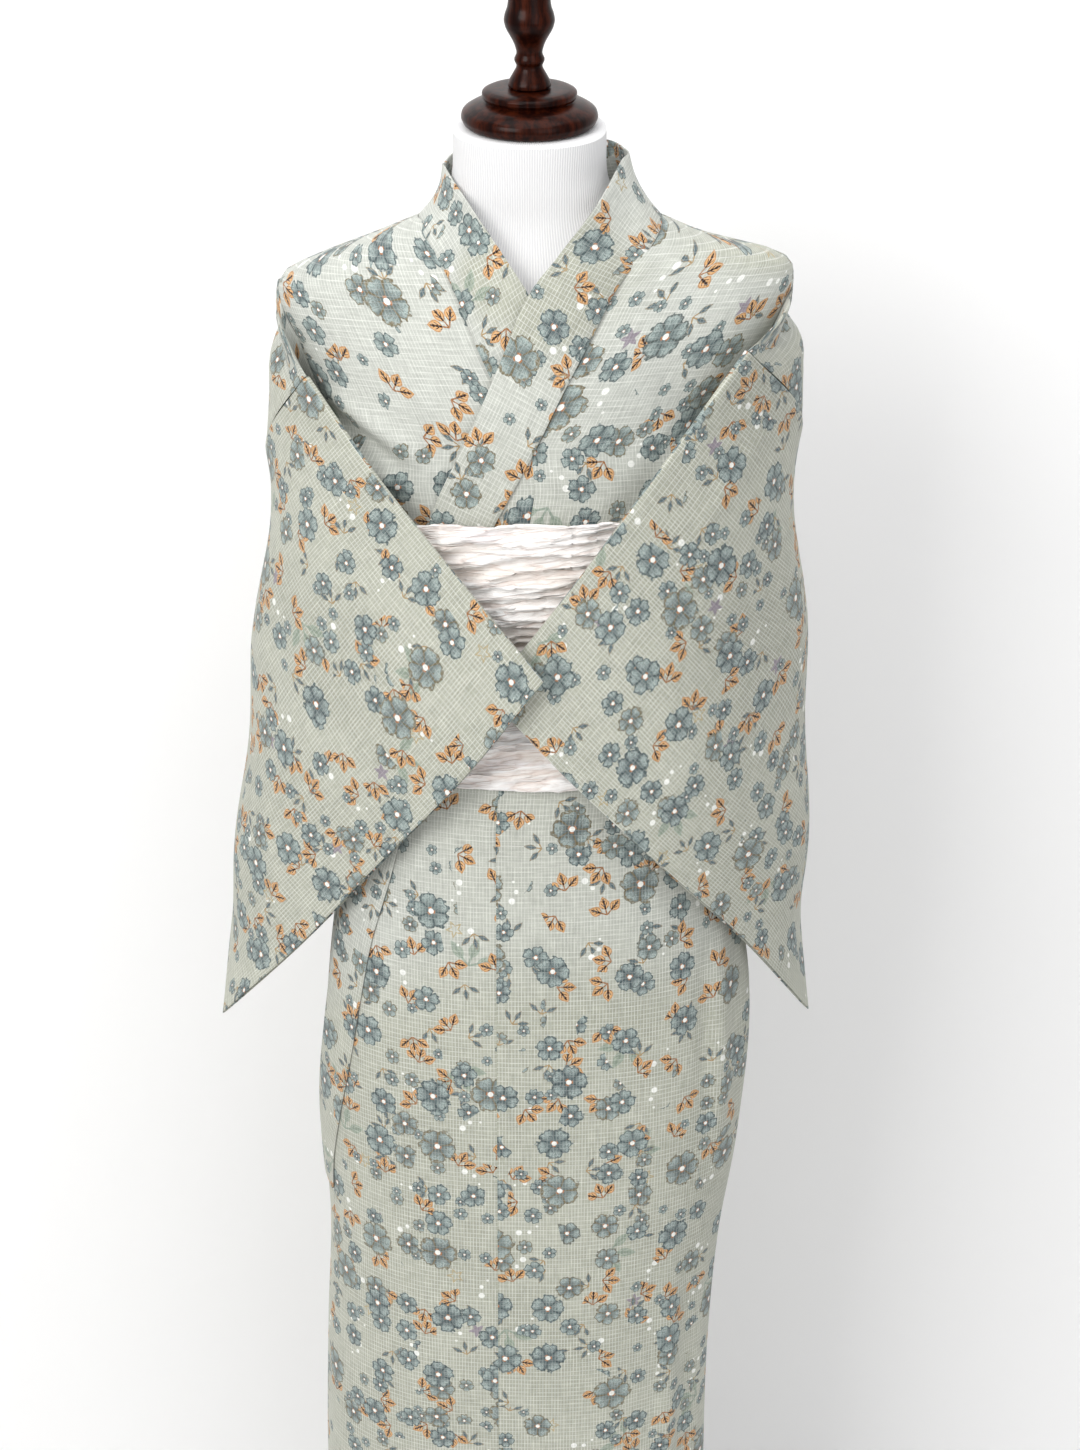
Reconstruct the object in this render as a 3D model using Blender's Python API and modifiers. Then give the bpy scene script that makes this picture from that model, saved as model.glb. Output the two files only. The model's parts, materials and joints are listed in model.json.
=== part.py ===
"""A cotton yukata robe with its sash on a limbless dress form.

Metres, +Z up. The robe's front faces -Y and +X is the wearer's left. The origin is the middle of
the stand's underside, on the floor. Every cloth piece is a thin wall of the garment's true shape.
"""
import math

import bmesh
import bpy
import numpy as np
from mathutils import Matrix, Vector

# Cloth thicknesses and the gap that neighbouring pieces keep.
CLOTH = 0.0012
BAND_CLOTH = 0.0016
SASH_CLOTH = 0.0022
SEAM = 0.0003

# How far each layer's outer face stands off the surface that the robe follows.
UNDER_LIFT = 0.0015
UNDER_BAND_LIFT = 0.0048
OVER_LIFT = 0.0072
OVER_BAND_RISE = 0.0040
NECK_BAND_LIFT = 0.0062
DROP_BOW = 0.015
DROP_BACK_BOW = 0.007
# How far the strip's back half stands out to its side, for the wearer's right (-1) and left (1).
DROP_SIDE_BOW = {-1: 0.016, 1: 0.024}
DROP_END_GAP = 0.0024
DROP_START_DEG = 6.0
DROP_START_RISE = 0.0030
DROP_START_GAP = 0.0006
SASH_LOWER_LIFT = 0.0160
SASH_UPPER_LIFT = 0.0192

# Heights.
HEM_Z = 0.036
UNDERARM_Z = 1.425
SHOULDER_Z = 1.578
DROP_TOP_Z = 1.571
COLLAR_SIDE_Z = 1.618
BAND_END_Z = 0.765
OVERLAP_TOP_Z = 1.463
SASH_BOTTOM_Z = 1.187
SASH_LAP_Z = 1.326
SASH_TOP_Z = 1.408
SASH_SIDE_DIP = 0.012
FORM_BOTTOM_Z = 0.940
NECK_TOP_Z = 1.690

BAND_WIDTH = 0.053
SEAM_LAP = 0.003
SIDE_SEAM_DEG = 84.0
ARMHOLE_DEPTH = 0.47
SQUARENESS = 2.3
NECK_LEAN_DEG = 10.0

# The form's level sections: height, half width, depth to the front and to the back.
FORM_SECTIONS = (
    (0.940, 0.150, 0.098, 0.100),
    (1.000, 0.160, 0.106, 0.110),
    (1.050, 0.160, 0.110, 0.113),
    (1.120, 0.142, 0.105, 0.104),
    (1.180, 0.128, 0.098, 0.094),
    (1.250, 0.118, 0.092, 0.086),
    (1.330, 0.122, 0.093, 0.086),
    (1.400, 0.136, 0.097, 0.100),
    (1.450, 0.148, 0.102, 0.1050),
    (1.500, 0.162, 0.102, 0.1011),
    (1.535, 0.176, 0.095, 0.0920),
    (1.560, 0.186, 0.083, 0.0805),
    (1.578, 0.180, 0.073, 0.0700),
    (1.592, 0.152, 0.066, 0.0620),
    (1.606, 0.108, 0.060, 0.055),
    (1.622, 0.076, 0.056, 0.054),
    (1.645, 0.063, 0.056, 0.057),
    (1.690, 0.059, 0.059, 0.059),
)

# The robe's level sections: height, reach to the wearer's right and left, to the front and the back.
ROBE_SECTIONS = (
    (0.030, 0.180, 0.168, 0.118, 0.118),
    (0.250, 0.185, 0.166, 0.118, 0.118),
    (0.440, 0.190, 0.164, 0.118, 0.118),
    (0.613, 0.184, 0.165, 0.119, 0.119),
    (0.724, 0.178, 0.171, 0.121, 0.121),
    (0.830, 0.182, 0.185, 0.124, 0.124),
    (0.930, 0.180, 0.188, 0.127, 0.127),
    (1.030, 0.170, 0.182, 0.125, 0.126),
    (1.100, 0.158, 0.164, 0.121, 0.120),
    (1.180, 0.142, 0.144, 0.114, 0.111),
    (1.250, 0.133, 0.133, 0.107, 0.102),
    (1.330, 0.137, 0.137, 0.108, 0.102),
    (1.400, 0.150, 0.150, 0.111, 0.105),
    (1.450, 0.161, 0.162, 0.112, 0.106),
    (1.500, 0.174, 0.177, 0.108, 0.102),
    (1.535, 0.188, 0.192, 0.099, 0.093),
    (1.560, 0.198, 0.203, 0.087, 0.082),
    (1.578, 0.192, 0.206, 0.077, 0.072),
    (1.592, 0.162, 0.196, 0.071, 0.065),
    (1.606, 0.124, 0.140, 0.066, 0.062),
    (1.621, 0.086, 0.102, 0.0625, 0.060),
)

# Soft standing folds: angle from the front, spread in degrees, top, bottom and height of the ridge.
FOLDS = (
    (76.0, 7.0, 1.06, 0.82, 0.005),
    (62.0, 6.0, 0.78, -0.60, 0.004),
    (-66.0, 7.0, 0.70, -0.60, 0.003),
    (150.0, 9.0, 1.12, -0.40, 0.004),
    (207.0, 10.0, 1.10, -0.40, 0.005),
)

# Where the collar band is sewn on: height and x on the wearer's left front, which lies over.
OVER_SEAM = (
    (0.765, -0.170), (0.806, -0.168), (0.866, -0.159), (0.930, -0.147), (1.044, -0.126),
    (1.093, -0.112), (1.180, -0.090), (1.240, -0.072), (1.330, -0.048), (1.408, -0.025),
    (1.449, -0.003), (1.501, 0.023), (1.540, 0.045), (1.578, 0.067), (1.602, 0.087), (1.621, 0.102),
)
UNDER_SEAM = (
    (0.765, 0.122), (0.806, 0.121), (0.866, 0.119), (0.930, 0.116), (1.044, 0.108),
    (1.093, 0.101), (1.180, 0.088), (1.240, 0.072), (1.330, 0.048), (1.408, 0.025),
    (1.449, 0.003), (1.501, -0.022), (1.540, -0.041), (1.578, -0.058), (1.602, -0.070),
    (1.621, -0.084),
)

# Seam between front width and overlap: height and x.
OVERLAP_SEAM = ((0.030, -0.029), (0.500, -0.029), (1.150, -0.027), (1.300, -0.016), (1.430, 0.004),
                (1.465, 0.0015))

# The back neckline: height and distance from the centre-back seam.
BACK_NECK = ((0.000, 0.000), (1.5949, 0.000), (1.599, 0.028), (1.607, 0.057), (1.618, 0.086))

# The standing collar's free edge at the front, from the shoulder down: sewn height, free x, y, z.
OVER_COLLAR = (
    (1.618, 0.076, -0.014, 1.664),
    (1.602, 0.047, -0.076, 1.634),
    (1.578, 0.020, -0.094, 1.603),
    (1.540, -0.001, -0.104, 1.577),
)
UNDER_COLLAR = (
    (1.618, -0.068, -0.006, 1.658),
    (1.602, -0.042, -0.070, 1.634),
    (1.578, -0.020, -0.086, 1.605),
    (1.540, 0.001, -0.096, 1.574),
)

# The collar round the back of the neck: angle, sewn height, free edge x, y, z.
BACK_COLLAR = (
    (105.0, 1.614, 0.082, 0.018, 1.667),
    (130.0, 1.602, 0.064, 0.050, 1.660),
    (155.0, 1.594, 0.034, 0.074, 1.652),
    (180.0, 1.590, 0.000, 0.082, 1.649),
    (205.0, 1.594, -0.033, 0.073, 1.651),
    (230.0, 1.602, -0.060, 0.049, 1.656),
    (255.0, 1.614, -0.071, 0.018, 1.659),
)

# Each sleeve's outer layer: one row from the body side to the cuff, down from the folded top edge.
SLEEVE_RIGHT = (
    ((-0.177, -0.072, 1.507), (-0.216, 0.010, 1.437), (-0.208, 0.095, 1.350),
     (-0.224, 0.150, 1.240), (-0.245, 0.205, 1.130)),
    ((-0.118, -0.124, 1.440), (-0.183, -0.062, 1.362), (-0.234, 0.020, 1.270),
     (-0.248, 0.085, 1.165), (-0.257, 0.137, 1.063)),
    ((-0.054, -0.158, 1.370), (-0.120, -0.124, 1.280), (-0.185, -0.076, 1.185),
     (-0.252, -0.010, 1.090), (-0.274, 0.065, 0.992)),
    ((0.009, -0.180, 1.298), (-0.055, -0.152, 1.206), (-0.125, -0.116, 1.118),
     (-0.198, -0.066, 1.020), (-0.276, -0.010, 0.926)),
)
SLEEVE_LEFT = (
    ((0.170, -0.094, 1.531), (0.220, 0.000, 1.462), (0.214, 0.090, 1.370),
     (0.221, 0.145, 1.255), (0.233, 0.198, 1.145)),
    ((0.100, -0.140, 1.450), (0.168, -0.092, 1.370), (0.230, 0.010, 1.285),
     (0.238, 0.080, 1.180), (0.241, 0.135, 1.074)),
    ((0.034, -0.157, 1.366), (0.101, -0.142, 1.292), (0.169, -0.098, 1.200),
     (0.234, -0.012, 1.103), (0.246, 0.065, 1.002)),
    ((-0.033, -0.154, 1.279), (0.033, -0.153, 1.205), (0.105, -0.138, 1.128),
     (0.178, -0.090, 1.040), (0.248, -0.014, 0.932)),
)

# Half the space between a sleeve's two layers, down from its top edge.
SPACE_AT_BODY = (0.006, 0.009, 0.016, 0.014, 0.010)
SPACE_AT_CUFF = (0.0040, 0.0045, 0.0040, 0.0012, 0.0010)

# Turned pieces: radius and height, from the top down.
CAP_PROFILE = (
    (0.0, 0.0285), (0.031, 0.0285), (0.0365, 0.026), (0.0365, 0.022), (0.034, 0.0195),
    (0.044, 0.0165), (0.0515, 0.012), (0.053, 0.007), (0.051, 0.0025), (0.048, 0.0), (0.0, 0.0),
)
FINIAL_PROFILE = (
    (0.0, 0.106), (0.005, 0.104), (0.009, 0.094), (0.0155, 0.070), (0.0165, 0.060), (0.0185, 0.055),
    (0.0195, 0.050), (0.018, 0.044), (0.012, 0.034), (0.0095, 0.026), (0.0120, 0.021),
    (0.0095, 0.016), (0.0130, 0.010), (0.0165, 0.004), (0.0165, 0.0), (0.0, 0.0),
)
BASE_PROFILE = (
    (0.0, 0.050), (0.020, 0.050), (0.023, 0.047), (0.026, 0.034), (0.040, 0.028), (0.120, 0.022),
    (0.147, 0.018), (0.155, 0.011), (0.155, 0.004), (0.151, 0.0), (0.0, 0.0),
)
POLE_RADIUS = 0.0125
HUB_TOP_Z = 0.050

COLOURS = {
    "robe cotton": ((0.52, 0.55, 0.47), 0.85),
    "sash cotton": ((0.90, 0.86, 0.84), 0.80),
    "form jersey": ((0.86, 0.85, 0.84), 0.90),
    "walnut": ((0.09, 0.035, 0.02), 0.30),
}


def material(name):
    """A plain Principled material of the named colour and roughness."""
    made = bpy.data.materials.get(name)
    if made is None:
        colour, roughness = COLOURS[name]
        made = bpy.data.materials.new(name)
        made.use_nodes = True
        shader = made.node_tree.nodes["Principled BSDF"]
        shader.inputs["Base Color"].default_value = (*colour, 1.0)
        shader.inputs["Roughness"].default_value = roughness
        shader.inputs["Metallic"].default_value = 0.0
        made.diffuse_color = (*colour, 1.0)
    return made


def add_object(name, mesh, material_name, collection):
    """Put a mesh in the robe's collection as one named piece."""
    mesh.materials.append(material(material_name))
    piece = bpy.data.objects.new(name, mesh)
    collection.objects.link(piece)
    return piece


def curve_through(rows, at):
    """A smooth curve through a table's rows, read at one or more values of its first column."""
    table = np.asarray(rows, dtype=float)
    keys = table[:, 0]
    values = table[:, 1:]
    at = np.clip(at, keys[0], keys[-1])
    row = int(np.clip(np.searchsorted(keys, at) - 1, 0, len(keys) - 2))
    step = keys[row + 1] - keys[row]
    part = (at - keys[row]) / step
    slopes = np.gradient(values, keys, axis=0)
    square = part * part
    cube = square * part
    return (
        values[row] * (2 * cube - 3 * square + 1)
        + values[row + 1] * (3 * square - 2 * cube)
        + slopes[row] * (cube - 2 * square + part) * step
        + slopes[row + 1] * (cube - square) * step
    )


def signed_power(value, power):
    return math.copysign(abs(value) ** power, value)


def section_point(section, angle):
    """A point on a rounded section; the angle turns from the front towards the wearer's left."""
    right, left, front, back = section
    sine = math.sin(angle)
    cosine = math.cos(angle)
    x = signed_power(sine, 2 / SQUARENESS) * (left if sine > 0 else right)
    y = -signed_power(cosine, 2 / SQUARENESS) * (front if cosine > 0 else back)
    return x, y


def fold_height(angle, z):
    """How far the standing folds lift the cloth here."""
    degrees = math.degrees(angle)
    total = 0.0
    for centre, spread, top, bottom, height in FOLDS:
        away = (degrees - centre + 180.0) % 360.0 - 180.0
        along = (z - bottom) / (top - bottom)
        if 0.0 < along < 1.0:
            total += height * math.exp(-(away / spread) ** 2) * math.sin(math.pi * along) ** 2
    return total


def robe_surface(angle, z):
    section = curve_through(ROBE_SECTIONS, z)
    x, y = section_point(section, angle)
    return Vector((x, y, z))


def robe_point(angle, z, lift):
    """A point that stands off the robe's surface by lift, square to it."""
    turn = 0.004
    climb = 0.002
    around = robe_surface(angle + turn, z) - robe_surface(angle - turn, z)
    upward = robe_surface(angle, z + climb) - robe_surface(angle, z - climb)
    outward = around.cross(upward).normalized()
    return robe_surface(angle, z) + outward * (lift + fold_height(angle, z))


def angle_at_x(x, z):
    """The angle at which the front of the robe has this x."""
    right, left, _, _ = curve_through(ROBE_SECTIONS, z)
    share = min(1.0, abs(x) / (left if x > 0 else right))
    return math.copysign(math.asin(share ** (SQUARENESS / 2)), x)


def angle_of_point(point):
    """The angle of the robe's surface that lies nearest a point beside it."""
    right, left, front, back = curve_through(ROBE_SECTIONS, point.z)
    across = signed_power(point.x / (left if point.x > 0 else right), SQUARENESS / 2)
    forward = signed_power(-point.y / (front if point.y < 0 else back), SQUARENESS / 2)
    return math.atan2(across, forward)


def ease(value, low, high):
    """A smooth step from 0 at low to 1 at high."""
    share = min(1.0, max(0.0, (value - low) / (high - low)))
    return share * share * (3 - 2 * share)


def over_lift(angle, z):
    """The left front rises from the side seam and from the shoulder to clear the layers under it."""
    from_side = ease(-math.degrees(angle), -83.0, -68.0)
    near_middle = ease(-math.degrees(angle), -35.0, -14.0)
    below_chest = ease(-z, -1.500, -1.440)
    share = from_side * max(below_chest, near_middle)
    return UNDER_LIFT + (OVER_LIFT - UNDER_LIFT) * share


def under_lift(angle, z):
    return UNDER_LIFT


def level_lift(angle, z):
    return OVER_LIFT


def over_band_lift(z):
    """The band lies on the left front all the way up."""
    return over_lift(angle_at_x(float(curve_through(OVER_SEAM, z)[0]), z), z) + OVER_BAND_RISE


def under_band_lift(z):
    return UNDER_BAND_LIFT + (NECK_BAND_LIFT - UNDER_BAND_LIFT) * ease(z, 1.560, 1.600)


def two_skins(name, outer, inner, material_name, collection, ring=False):
    """Close a wall between two grids of points; a ring's columns join end to end."""
    mesh = bmesh.new()
    rows = len(outer)
    columns = len(outer[0])
    outside = [[mesh.verts.new(point) for point in row] for row in outer]
    inside = [[mesh.verts.new(point) for point in row] for row in inner]
    last = columns if ring else columns - 1
    for row in range(rows - 1):
        for column in range(last):
            beside = (column + 1) % columns
            mesh.faces.new((
                outside[row][column], outside[row][beside],
                outside[row + 1][beside], outside[row + 1][column],
            ))
            mesh.faces.new((
                inside[row][column], inside[row + 1][column],
                inside[row + 1][beside], inside[row][beside],
            ))
    for column in range(last):
        beside = (column + 1) % columns
        mesh.faces.new((outside[0][beside], outside[0][column], inside[0][column], inside[0][beside]))
        mesh.faces.new((
            outside[-1][column], outside[-1][beside], inside[-1][beside], inside[-1][column],
        ))
    if not ring:
        for row in range(rows - 1):
            mesh.faces.new((
                outside[row][0], outside[row + 1][0], inside[row + 1][0], inside[row][0],
            ))
            mesh.faces.new((
                outside[row + 1][-1], outside[row][-1], inside[row][-1], inside[row + 1][-1],
            ))
    bmesh.ops.recalc_face_normals(mesh, faces=mesh.faces[:])
    data = bpy.data.meshes.new(name)
    mesh.to_mesh(data)
    mesh.free()
    data.shade_smooth()
    data.set_sharp_from_angle(angle=math.radians(50))
    return add_object(name, data, material_name, collection)


def wall_behind(grid, thickness, facing):
    """The inner skin of a sheet: its grid moved square to itself, away from the facing direction."""
    points = np.array([[tuple(point) for point in row] for row in grid])
    down = np.gradient(points, axis=0)
    across = np.gradient(points, axis=1)
    normals = np.cross(down, across)
    normals /= np.linalg.norm(normals, axis=2)[:, :, None]
    if (normals * np.asarray(facing(points))).sum() < 0:
        normals = -normals
    return points - normals * thickness


def panel(name, heights, inner_angle, outer_angle, lift, columns, collection):
    """A body piece between two edges, each given as an angle at every height."""
    outer = []
    inner = []
    for z in heights:
        start = inner_angle(z)
        end = outer_angle(z)
        angles = [start + (end - start) * column / columns for column in range(columns + 1)]
        outer.append([robe_point(angle, z, lift(angle, z)) for angle in angles])
        inner.append([robe_point(angle, z, lift(angle, z) - CLOTH) for angle in angles])
    return two_skins(name, outer, inner, "robe cotton", collection)


def heights_between(low, high, marks):
    """Rows from low to high that use the marks between them."""
    inside = [mark for mark in marks if low + 0.008 < mark < high - 0.004]
    return [low] + inside + [high]


BODY_MARKS = (
    0.12, 0.25, 0.38, 0.50, 0.60, 0.68, 0.74, 0.80, 0.86, 0.92, 0.98, 1.04, 1.10, 1.16, 1.22, 1.29,
    1.36, 1.40, 1.43, 1.465, 1.50, 1.53, 1.548, 1.562, 1.5745, 1.580, 1.588, 1.598, 1.608,
)
ARMHOLE_EDGE = (
    (1.425, 72.0), (1.530, 72.0), (1.548, 73.0), (1.562, 76.0), (1.5745, 82.0), (1.5799, 90.0),
)


def seam_edge(z):
    """Angle of the side: the side seam, the armhole above it and the shoulder fold at the top."""
    if z < UNDERARM_Z:
        return math.radians(SIDE_SEAM_DEG)
    return math.radians(float(np.interp(z, *zip(*ARMHOLE_EDGE))))


def gap_angle(z, gap=SEAM):
    """The turn that parts two edges by a gap where the robe is about one radius wide."""
    right, left, front, back = curve_through(ROBE_SECTIONS, z)
    return gap / min(left, right, 2 * front)


def shoulder_gap(z):
    """The small turn that keeps front and back apart along the shoulder fold."""
    return math.radians(0.35) if z > SHOULDER_Z else gap_angle(z)


def fronts(collection):
    """The two front widths; the left one lies over."""
    heights = heights_between(HEM_Z, COLLAR_SIDE_Z, BODY_MARKS)

    def left_inner(z):
        if z < OVERLAP_TOP_Z:
            return angle_at_x(overlap_seam_x(z), z) + gap_angle(z)
        return angle_at_x(float(curve_through(OVER_SEAM, z)[0]) - SEAM_LAP, z)

    def right_inner(z):
        if z < OVERLAP_TOP_Z:
            return angle_at_x(-overlap_seam_x(z), z) - gap_angle(z)
        return angle_at_x(float(curve_through(UNDER_SEAM, z)[0]) + SEAM_LAP, z)

    panel("front_left", heights, left_inner, lambda z: seam_edge(z) - shoulder_gap(z),
          over_lift, 8, collection)
    panel("front_right", heights, right_inner, lambda z: shoulder_gap(z) - seam_edge(z),
          under_lift, 8, collection)


def overlap_seam_x(z):
    return float(np.interp(z, *zip(*OVERLAP_SEAM)))


def overlaps(collection):
    """The tapered overlap strips between the front widths and the collar band."""
    heights = heights_between(HEM_Z, OVERLAP_TOP_Z - 0.004, BODY_MARKS)

    def seam(z):
        return angle_at_x(overlap_seam_x(z), z) - gap_angle(z)

    def under_seam(z):
        return angle_at_x(-overlap_seam_x(z), z) + gap_angle(z)

    def edge(z):
        if z < BAND_END_Z:
            return math.radians(-SIDE_SEAM_DEG)
        lap = angle_at_x(float(curve_through(OVER_SEAM, z)[0]) - SEAM_LAP, z)
        return min(lap, seam(z) - 0.02)

    def under_edge(z):
        if z < BAND_END_Z:
            return math.radians(58.0)
        lap = angle_at_x(float(curve_through(UNDER_SEAM, z)[0]) + SEAM_LAP, z)
        return max(lap, under_seam(z) + 0.02)

    panel("overlap_left", heights, seam, edge, level_lift, 6, collection)
    panel("overlap_right", heights, under_seam, under_edge, under_lift, 5, collection)


def backs(collection):
    """The two back widths, from the centre-back seam to the side seams and the shoulder fold."""
    heights = heights_between(HEM_Z, COLLAR_SIDE_Z, BODY_MARKS)

    def inner(z):
        neck = float(np.interp(z, *zip(*BACK_NECK)))
        if neck < 0.001:
            return math.pi - 0.5 * gap_angle(z)
        return math.pi - angle_at_x(neck, z)

    def outer(z):
        return math.pi - seam_edge(z) if z > UNDERARM_Z else seam_edge(z)

    for name, side in (("back_left", 1), ("back_right", -1)):
        panel(name, heights, lambda z: side * inner(z), lambda z: side * (outer(z) + shoulder_gap(z)),
              under_lift, 7, collection)


def band_station(seam, z, lift_at, side):
    """The band's rows from its sewn edge to its free edge where it lies on the body."""
    lift = lift_at(z)
    climb = 0.01
    low = robe_point(angle_at_x(float(curve_through(seam, z - climb)[0]), z - climb), z - climb, lift)
    high = robe_point(angle_at_x(float(curve_through(seam, z + climb)[0]), z + climb), z + climb, lift)
    angle = angle_at_x(float(curve_through(seam, z)[0]), z)
    sewn = robe_point(angle, z, lift)
    outward = (robe_point(angle, z, lift + 0.01) - sewn).normalized()
    across = (high - low).normalized().cross(outward) * side
    row = [sewn]
    for share in (0.333, 0.667, 1.0):
        beside = sewn + across * BAND_WIDTH * share
        row.append(robe_point(angle_of_point(beside), beside.z, lift))
    return row


def band_grid():
    """Rows of four points along the whole band, from the end that shows up round the neck and down."""
    marks = [0.772] + [mark for mark in BODY_MARKS if BAND_END_Z < mark < 1.52]
    grid = [band_station(OVER_SEAM, z, over_band_lift, -1) for z in marks]
    for z, x, y, free_z in reversed(OVER_COLLAR):
        sewn = robe_point(angle_at_x(float(curve_through(OVER_SEAM, z)[0]), z), z, over_band_lift(z))
        grid.append(collar_row(sewn, Vector((x, y, free_z))))
    for degrees, z, x, y, free_z in BACK_COLLAR:
        sewn = robe_point(math.radians(degrees), z, NECK_BAND_LIFT)
        grid.append(collar_row(sewn, Vector((x, y, free_z))))
    for z, x, y, free_z in UNDER_COLLAR:
        sewn = robe_point(angle_at_x(float(curve_through(UNDER_SEAM, z)[0]), z), z, under_band_lift(z))
        grid.append(collar_row(sewn, Vector((x, y, free_z))))
    grid += [band_station(UNDER_SEAM, z, under_band_lift, 1) for z in reversed(marks)]
    return grid


def collar_row(sewn, free):
    """Sewn edge, a middle that bulges a little outward, and free edge of the standing collar."""
    row = [sewn]
    for share in (0.333, 0.667):
        point = sewn.lerp(free, share)
        row.append(point + Vector((point.x, point.y, 0.0)).normalized() * 0.004)
    return row + [free]


def collar_band(collection):
    grid = band_grid()
    outward = lambda points: points * np.array((1.0, 1.0, 0.0))
    inner = wall_behind(grid, BAND_CLOTH, outward)
    two_skins("collar_band", grid, inner, "robe cotton", collection)


def spline(points, share):
    """A smooth curve through evenly spaced points, at a share from 0 to 1 of its length."""
    points = np.asarray(points, dtype=float)
    spans = len(points) - 1
    place = min(max(share, 0.0), 1.0) * spans
    span = min(int(place), spans - 1)
    part = place - span
    before = points[span - 1] if span > 0 else 2 * points[0] - points[1]
    after = points[span + 2] if span + 2 <= spans else 2 * points[-1] - points[-2]
    start = points[span]
    end = points[span + 1]
    return 0.5 * (
        2 * start + (end - before) * part
        + (2 * before - 5 * start + 4 * end - after) * part ** 2
        + (3 * start - before - 3 * end + after) * part ** 3
    )


def sleeve_surface(stations, along, down):
    return Vector(spline([spline(station, down) for station in stations], along))


def sleeve_normal(stations, along, down, side):
    """Square to the outer layer, pointing away from the body."""
    step = 0.02
    ahead = sleeve_surface(stations, min(1.0, along + step), down)
    behind = sleeve_surface(stations, max(0.0, along - step), down)
    below = sleeve_surface(stations, along, min(1.0, down + step))
    above = sleeve_surface(stations, along, max(0.0, down - step))
    return (ahead - behind).cross(below - above).normalized() * side


def sleeve_space(along, down):
    at_body = float(spline([(space,) for space in SPACE_AT_BODY], down)[0])
    at_cuff = float(spline([(space,) for space in SPACE_AT_CUFF], down)[0])
    return at_body + (at_cuff - at_body) * along


def sleeve_ring(stations, along, side, count, inset):
    """One loop round a sleeve: down its outer layer and back up the inner one."""
    ring = []
    for step in range(count):
        turn = 2 * math.pi * (step + 0.5) / count
        down = 0.5 - 0.5 * signed_power(math.cos(turn), 0.75)
        down = inset * 0.0045 + down * (1 - inset * 0.009)
        space = sleeve_space(along, down) + CLOTH * (1 - inset)
        reach = signed_power(math.sin(turn), 0.45) * space
        middle = sleeve_space(along, down) + CLOTH
        normal = sleeve_normal(stations, along, down, side)
        ring.append(sleeve_surface(stations, along, down) + normal * (reach - middle))
    return ring


def sleeves(collection):
    """Two flat bags, open at the body side and at the cuff."""
    lengths = 12
    count = 30
    for name, stations, side in (("sleeve_right", SLEEVE_RIGHT, -1), ("sleeve_left", SLEEVE_LEFT, 1)):
        shares = [step / lengths for step in range(lengths + 1)]
        outer = [sleeve_ring(stations, share, side, count, 0) for share in shares]
        inner = [sleeve_ring(stations, share, side, count, 1) for share in shares]
        two_skins(name, outer, inner, "robe cotton", collection, ring=True)


def drops(collection):
    """The strip of each body width that hangs past the shoulder, up to the armhole seam."""
    heights = [1.445, 1.47, 1.50, 1.53, 1.548, 1.562]
    places = [(-1, z) for z in heights] + [(0, DROP_TOP_Z)] + [(1, z) for z in reversed(heights)]
    for name, stations, side in (("drop_right", SLEEVE_RIGHT, -1), ("drop_left", SLEEVE_LEFT, 1)):
        grid = [drop_row(stations, half, z, side) for half, z in places]
        outward = lambda points: (points - points.mean(axis=(0, 1))) * np.array((1.0, 1.0, 0.0))
        inner = wall_behind(grid, CLOTH, outward)
        two_skins(name, grid, inner, "robe cotton", collection)


def drop_row(stations, half, z, side):
    """From the shoulder's edge out to the armhole seam; half is -1 in front, 0 on the fold, 1 behind."""
    size = (DROP_TOP_Z - z) / (DROP_TOP_Z - 1.445)
    if half == 0:
        angle = math.radians(90.0)
    else:
        angle = math.radians(90.0) + half * (math.radians(90.0 - DROP_START_DEG) - seam_edge(z))
    start = robe_point(side * angle, z, UNDER_LIFT + DROP_START_RISE)
    down = ARMHOLE_DEPTH * size
    normal = sleeve_normal(stations, 0.0, down, side)
    space = sleeve_space(0.0, down) + CLOTH
    reach = half * min(1.0, size / 0.15) ** 0.45 * space
    end = sleeve_surface(stations, 0.0, down) + normal * (reach - space)
    bow = (robe_point(side * math.radians(60.0), z, DROP_BOW) - robe_surface(side * math.radians(60.0), z))
    if half == 1:
        bow = Vector((0.0, DROP_BACK_BOW, 0.0)) * min(1.0, 2.0 * size)
        bow.x = side * DROP_SIDE_BOW[side] * min(1.0, 5.5 * size) * (1.0 - max(0.0, size - 0.3))
    else:
        bow = bow * max(0.0, 1.0 - 2.5 * size)
    length = (end - start).length
    first = DROP_START_GAP / length
    last = 1.0 - DROP_END_GAP / length
    parts = [first + (last - first) * step / 3 for step in range(4)]
    return [start.lerp(end, part) + bow * math.sin(math.pi * part) for part in parts]


def sash(collection):
    """The two turns of sash that show; the upper one laps over the lower."""
    around = 40
    angles = [-2 * math.pi * step / around for step in range(around)]
    for name, low, high, lift in (
        ("sash_lower", SASH_BOTTOM_Z, SASH_LAP_Z + 0.015, SASH_LOWER_LIFT),
        ("sash_upper", SASH_LAP_Z, SASH_TOP_Z, SASH_UPPER_LIFT),
    ):
        rows = 6 if name == "sash_lower" else 5
        outer = []
        inner = []
        for row in range(rows + 1):
            tops = [high - SASH_SIDE_DIP * math.sin(angle) ** 2 for angle in angles]
            spots = [(angle, low + (top - low) * row / rows) for angle, top in zip(angles, tops)]
            outer.append([robe_point(angle, z, lift) for angle, z in spots])
            inner.append([robe_point(angle, z, lift - SASH_CLOTH) for angle, z in spots])
        two_skins(name, outer, inner, "sash cotton", collection, ring=True)


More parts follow.
